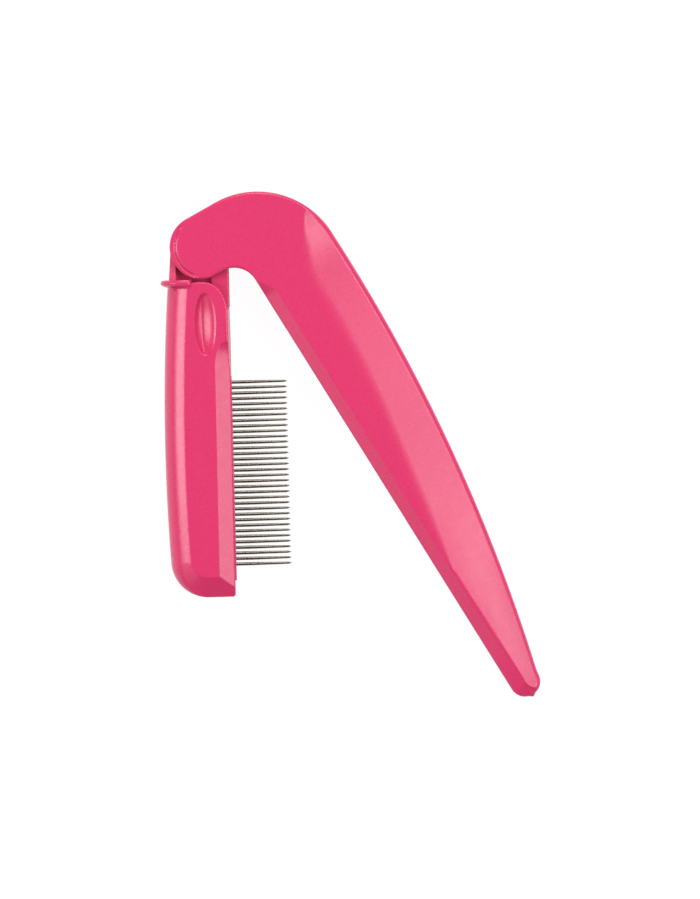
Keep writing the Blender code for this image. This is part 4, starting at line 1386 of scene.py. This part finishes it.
class NeedleTree:
    """The Geometry Nodes tree that turns one needle and repeats it along the bar.

    Attributes:
        LINE_POINTS: Points along a needle.
        POINT_POWER: How the radius grows from the point.
        BLUNT_SHARE: Radius at the very point, as a share of the neck's.
    """

    LINE_POINTS = 81
    POINT_POWER = 0.6
    BLUNT_SHARE = 0.06

    def __init__(self) -> None:
        """Make the tree and its named inputs."""
        self.tree = bpy.data.node_groups.new("needle_row", "GeometryNodeTree")
        self.tree.is_modifier = True
        face = self.tree.interface
        face.new_socket("Geometry", in_out="OUTPUT", socket_type="NodeSocketGeometry")
        self.sockets = {
            name: face.new_socket(name, in_out="INPUT", socket_type=kind).identifier
            for name, kind in (
                ("Count", "NodeSocketInt"),
                ("First", "NodeSocketFloat"),
                ("Pitch", "NodeSocketFloat"),
                ("Root", "NodeSocketFloat"),
                ("Tip", "NodeSocketFloat"),
                ("Radius", "NodeSocketFloat"),
                ("Neck Radius", "NodeSocketFloat"),
                ("Taper Length", "NodeSocketFloat"),
                ("Point Length", "NodeSocketFloat"),
                ("Sides", "NodeSocketInt"),
                ("Material", "NodeSocketMaterial"),
            )
        }
        self.inputs = self.tree.nodes.new("NodeGroupInput")
        self.output = self.tree.nodes.new("NodeGroupOutput")

    def link(self, source: bpy.types.NodeSocket, target: bpy.types.NodeSocket) -> None:
        """Join two sockets."""
        self.tree.links.new(source, target)

    def maths(self, operation: str, first: object, second: object) -> bpy.types.NodeSocket:
        """Add a Math node whose inputs are sockets or numbers, and return its result."""
        node = self.tree.nodes.new("ShaderNodeMath")
        node.operation = operation
        for socket, value in zip(node.inputs, (first, second)):
            if isinstance(value, bpy.types.NodeSocket):
                self.link(value, socket)
            else:
                socket.default_value = value
        return node.outputs["Value"]

    def vector(self, **parts: bpy.types.NodeSocket) -> bpy.types.NodeSocket:
        """Return a vector with the named parts, the others 0."""
        node = self.tree.nodes.new("ShaderNodeCombineXYZ")
        for axis, value in parts.items():
            self.link(value, node.inputs[axis])
        return node.outputs["Vector"]

    def ramp(self, value: bpy.types.NodeSocket, ends: Sequence[object]) -> bpy.types.NodeSocket:
        """Map a value from one range to another, held at the ends."""
        node = self.tree.nodes.new("ShaderNodeMapRange")
        names = ("From Min", "From Max", "To Min", "To Max")
        self.link(value, node.inputs["Value"])
        for name, end in zip(names, ends):
            if isinstance(end, bpy.types.NodeSocket):
                self.link(end, node.inputs[name])
            else:
                node.inputs[name].default_value = end
        return node.outputs["Result"]

    def build(self) -> bpy.types.NodeTree:
        """Build the tree.

        Returns:
            The tree: a line is thickened to a needle by its distance from the point, and the
            needle is placed at each point of a second line.
        """
        given = self.inputs.outputs
        line = self.tree.nodes.new("GeometryNodeCurvePrimitiveLine")
        self.link(self.vector(Y=given["Root"]), line.inputs["Start"])
        self.link(self.vector(Y=given["Tip"]), line.inputs["End"])
        fine = self.tree.nodes.new("GeometryNodeResampleCurve")
        fine.inputs["Count"].default_value = self.LINE_POINTS
        self.link(line.outputs["Curve"], fine.inputs["Curve"])
        along = self.tree.nodes.new("GeometryNodeInputPosition")
        split = self.tree.nodes.new("ShaderNodeSeparateXYZ")
        self.link(along.outputs["Position"], split.inputs["Vector"])
        back = self.maths("SUBTRACT", given["Tip"], split.outputs["Y"])
        taper_ends = (given["Point Length"], given["Taper Length"], given["Neck Radius"])
        taper = self.ramp(back, (*taper_ends, given["Radius"]))
        share = self.maths("DIVIDE", back, given["Point Length"])
        growth = self.maths("POWER", self.maths("MINIMUM", share, 1.0), self.POINT_POWER)
        blunt = self.maths("MAXIMUM", growth, self.BLUNT_SHARE)
        radius = self.maths("MULTIPLY", taper, blunt)
        sized = self.tree.nodes.new("GeometryNodeSetCurveRadius")
        self.link(fine.outputs["Curve"], sized.inputs["Curve"])
        self.link(radius, sized.inputs["Radius"])
        ring = self.tree.nodes.new("GeometryNodeCurvePrimitiveCircle")
        ring.inputs["Radius"].default_value = 1.0
        self.link(given["Sides"], ring.inputs["Resolution"])
        skin = self.tree.nodes.new("GeometryNodeCurveToMesh")
        skin.inputs["Fill Caps"].default_value = True
        self.link(sized.outputs["Curve"], skin.inputs["Curve"])
        self.link(ring.outputs["Curve"], skin.inputs["Profile Curve"])
        if "Scale" in skin.inputs:
            self.link(radius, skin.inputs["Scale"])
        row = self.tree.nodes.new("GeometryNodeMeshLine")
        row.mode = "OFFSET"
        self.link(given["Count"], row.inputs["Count"])
        self.link(self.vector(X=given["First"]), row.inputs["Start Location"])
        self.link(self.vector(X=given["Pitch"]), row.inputs["Offset"])
        copies = self.tree.nodes.new("GeometryNodeInstanceOnPoints")
        self.link(row.outputs["Mesh"], copies.inputs["Points"])
        self.link(skin.outputs["Mesh"], copies.inputs["Instance"])
        real = self.tree.nodes.new("GeometryNodeRealizeInstances")
        self.link(copies.outputs["Instances"], real.inputs["Geometry"])
        dressed = self.tree.nodes.new("GeometryNodeSetMaterial")
        self.link(real.outputs["Geometry"], dressed.inputs["Geometry"])
        self.link(given["Material"], dressed.inputs["Material"])
        self.link(dressed.outputs["Geometry"], self.output.inputs["Geometry"])
        return self.tree


@dataclass
class Needles:
    """The row of steel needles."""

    place: OwnFrame
    finish: GroundSteel = field(default_factory=GroundSteel)
    count: int = 34
    first: float = 21.75 * MM
    pitch: float = 0.882 * MM
    root: float = 3.0 * MM
    tip: float = 13.1 * MM
    radius: float = 0.265 * MM
    neck_radius: float = 0.18 * MM
    taper_length: float = 6.5 * MM
    point_length: float = 0.5 * MM
    sides: int = 16

    def build(self) -> bpy.types.Object:
        """Build the needles, dress them and hang them on the head's body."""
        tree = NeedleTree()
        steel = self.finish.build("needle_steel")
        carrier = show("needle_row_carrier", bpy.data.meshes.new("needle_row"), steel)
        repeat = carrier.modifiers.new("needle row", "NODES")
        repeat.node_group = tree.build()
        values = {
            "Count": self.count,
            "First": self.first,
            "Pitch": self.pitch,
            "Root": self.root,
            "Tip": self.tip,
            "Radius": self.radius,
            "Neck Radius": self.neck_radius,
            "Taper Length": self.taper_length,
            "Point Length": self.point_length,
            "Sides": self.sides,
            "Material": steel,
        }
        for name, value in values.items():
            repeat[tree.sockets[name]] = value
        shown = carrier.evaluated_get(bpy.context.evaluated_depsgraph_get())
        mesh = bpy.data.meshes.new_from_object(shown)
        bpy.data.objects.remove(carrier, do_unlink=True)
        finish_mesh(mesh, degrees=50.0)
        self.place.settle(mesh)
        piece = show("needle_row", mesh, steel)
        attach(piece, "comb_head")
        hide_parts(*(f"needle_{i + 1:02d}" for i in range(self.count)))
        return piece


@dataclass
class HingePin:
    """The pin, whose solid stays as it is and gets a finish."""

    finish: GroundSteel = field(default_factory=GroundSteel)

    def build(self) -> bpy.types.Object:
        """Dress the pin's solid."""
        pin = frame["nodes"]["hinge_pin"]
        pin.data.materials.clear()
        pin.data.materials.append(self.finish.build("pin_steel"))
        return pin


@dataclass(frozen=True)
class SoftBox:
    """A soft box of the studio, aimed at the comb.

    Attributes:
        name: Its name.
        azimuth: Direction in the picture, in degrees from the right, counterclockwise.
        lean: Angle from straight above, in degrees.
        distance: Distance from the comb.
        size: Width across its direction and height along it.
        radiance: Brightness of its face.
    """

    name: str
    azimuth: float
    lean: float
    distance: float
    size: tuple[float, float]
    radiance: float

    def build(self, target: Vector) -> bpy.types.Object:
        """Hang the soft box, facing the target."""
        data = bpy.data.lights.new(self.name, "AREA")
        data.shape = "RECTANGLE"
        data.size, data.size_y = self.size
        data.energy = self.radiance * math.pi * self.size[0] * self.size[1]
        light = bpy.data.objects.new(self.name, data)
        turn, lean = math.radians(self.azimuth), math.radians(self.lean)
        direction = Vector(
            (math.cos(turn) * math.sin(lean), math.sin(turn) * math.sin(lean), math.cos(lean))
        )
        light.location = target + direction * self.distance
        light.rotation_euler = direction.to_track_quat("Z", "Y").to_euler()
        bpy.context.scene.collection.objects.link(light)
        return light


@dataclass
class Studio:
    """The pale floor, the soft light and the camera straight above."""

    picture: tuple[int, int] = (700, 899)
    pixel: float = 0.16 * MM
    hinge_pixel: Point = (201.6, 247.0)
    camera_height: float = 0.6
    camera_range: tuple[float, float] = (0.01, 5.0)
    floor_half: float = 0.5
    floor_gap: float = 0.02 * MM
    sky: float = 0.28
    boxes: tuple[SoftBox, ...] = (
        SoftBox("left_soft_box", 177.0, 55.0, 0.45, (0.13, 0.27), 8.9),
        SoftBox("low_left_soft_box", 203.0, 64.0, 0.35, (0.10, 0.12), 1.3),
        SoftBox("right_soft_box", 28.0, 30.5, 0.7, (0.46, 0.22), 6.0),
        SoftBox("low_right_soft_box", -2.0, 52.0, 0.7, (0.32, 0.28), 4.4),
        SoftBox("top_soft_box", 92.0, 57.0, 0.7, (0.40, 0.50), 2.6),
        SoftBox("needle_soft_box", 92.0, 36.0, 0.6, (0.05, 0.26), 12.0),
        SoftBox("bottom_soft_box", 224.0, 58.0, 0.7, (0.26, 0.44), 0.75),
    )

    def centre(self) -> Vector:
        """Return the point under the middle of the picture."""
        x = (self.picture[0] / 2 - self.hinge_pixel[0]) * self.pixel
        y = (self.hinge_pixel[1] - self.picture[1] / 2) * self.pixel
        return Vector((x, y, 0.0))

    def build_floor(self) -> bpy.types.Object:
        """Lay the floor, just under the comb."""
        bm = bmesh.new()
        bmesh.ops.create_grid(bm, x_segments=1, y_segments=1, size=self.floor_half)
        place = self.centre() - Vector((0, 0, self.floor_gap))
        bmesh.ops.translate(bm, vec=place, verts=bm.verts)
        floor = show("floor", mesh_from(bm, "floor"), PaleFloor().build("pale_floor"))
        floor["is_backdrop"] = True
        return floor

    def build_camera(self) -> bpy.types.Object:
        """Set the camera above the middle of the picture, looking straight down."""
        data = bpy.data.cameras.new("camera")
        data.type = "ORTHO"
        data.ortho_scale = max(self.picture) * self.pixel
        data.clip_start, data.clip_end = self.camera_range
        camera = bpy.data.objects.new("camera", data)
        camera.location = self.centre() + Vector((0, 0, self.camera_height))
        bpy.context.scene.collection.objects.link(camera)
        bpy.context.scene.camera = camera
        return camera

    def build(self) -> None:
        """Build the floor, the lights and the camera."""
        scene = bpy.context.scene
        scene.view_settings.view_transform = "Standard"
        world = bpy.data.worlds.new("studio")
        world.use_nodes = True
        sky = world.node_tree.nodes["Background"]
        sky.inputs["Color"].default_value = (1.0, 1.0, 1.0, 1.0)
        sky.inputs["Strength"].default_value = self.sky
        scene.world = world
        self.build_floor()
        self.build_camera()
        for box in self.boxes:
            box.build(self.centre())


def keep_sizes() -> None:
    """Work out the box of the solids and the box of the dressed comb."""
    boxes = {"cad": CAD_BOX, "visual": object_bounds()}
    plain = {name: [list(low), list(high)] for name, (low, high) in boxes.items()}


def main() -> None:
    """Build the comb, piece by piece, and the studio round it."""
    logging.basicConfig(level=logging.INFO, format="%(name)s: %(message)s")
    hinge = Vector(frame["joints"][0]["pos_m"])
    handle_place = OwnFrame(math.radians(HANDLE_TURN), hinge)
    head_place = OwnFrame(math.radians(HEAD_TURN), hinge)
    bar = ToothBar(head_place)
    head = CombHead(head_place)
    pieces = [
        Handle(handle_place).build(),
        head.build(bar),
        bar.build(),
        Needles(head_place).build(),
        HingePin().build(),
    ]
    for piece in pieces:
        LOG.info("%s: %d faces", piece.name, len(piece.data.polygons))
    Studio().build()
    keep_sizes()


if __name__ == "__main__":
    main()
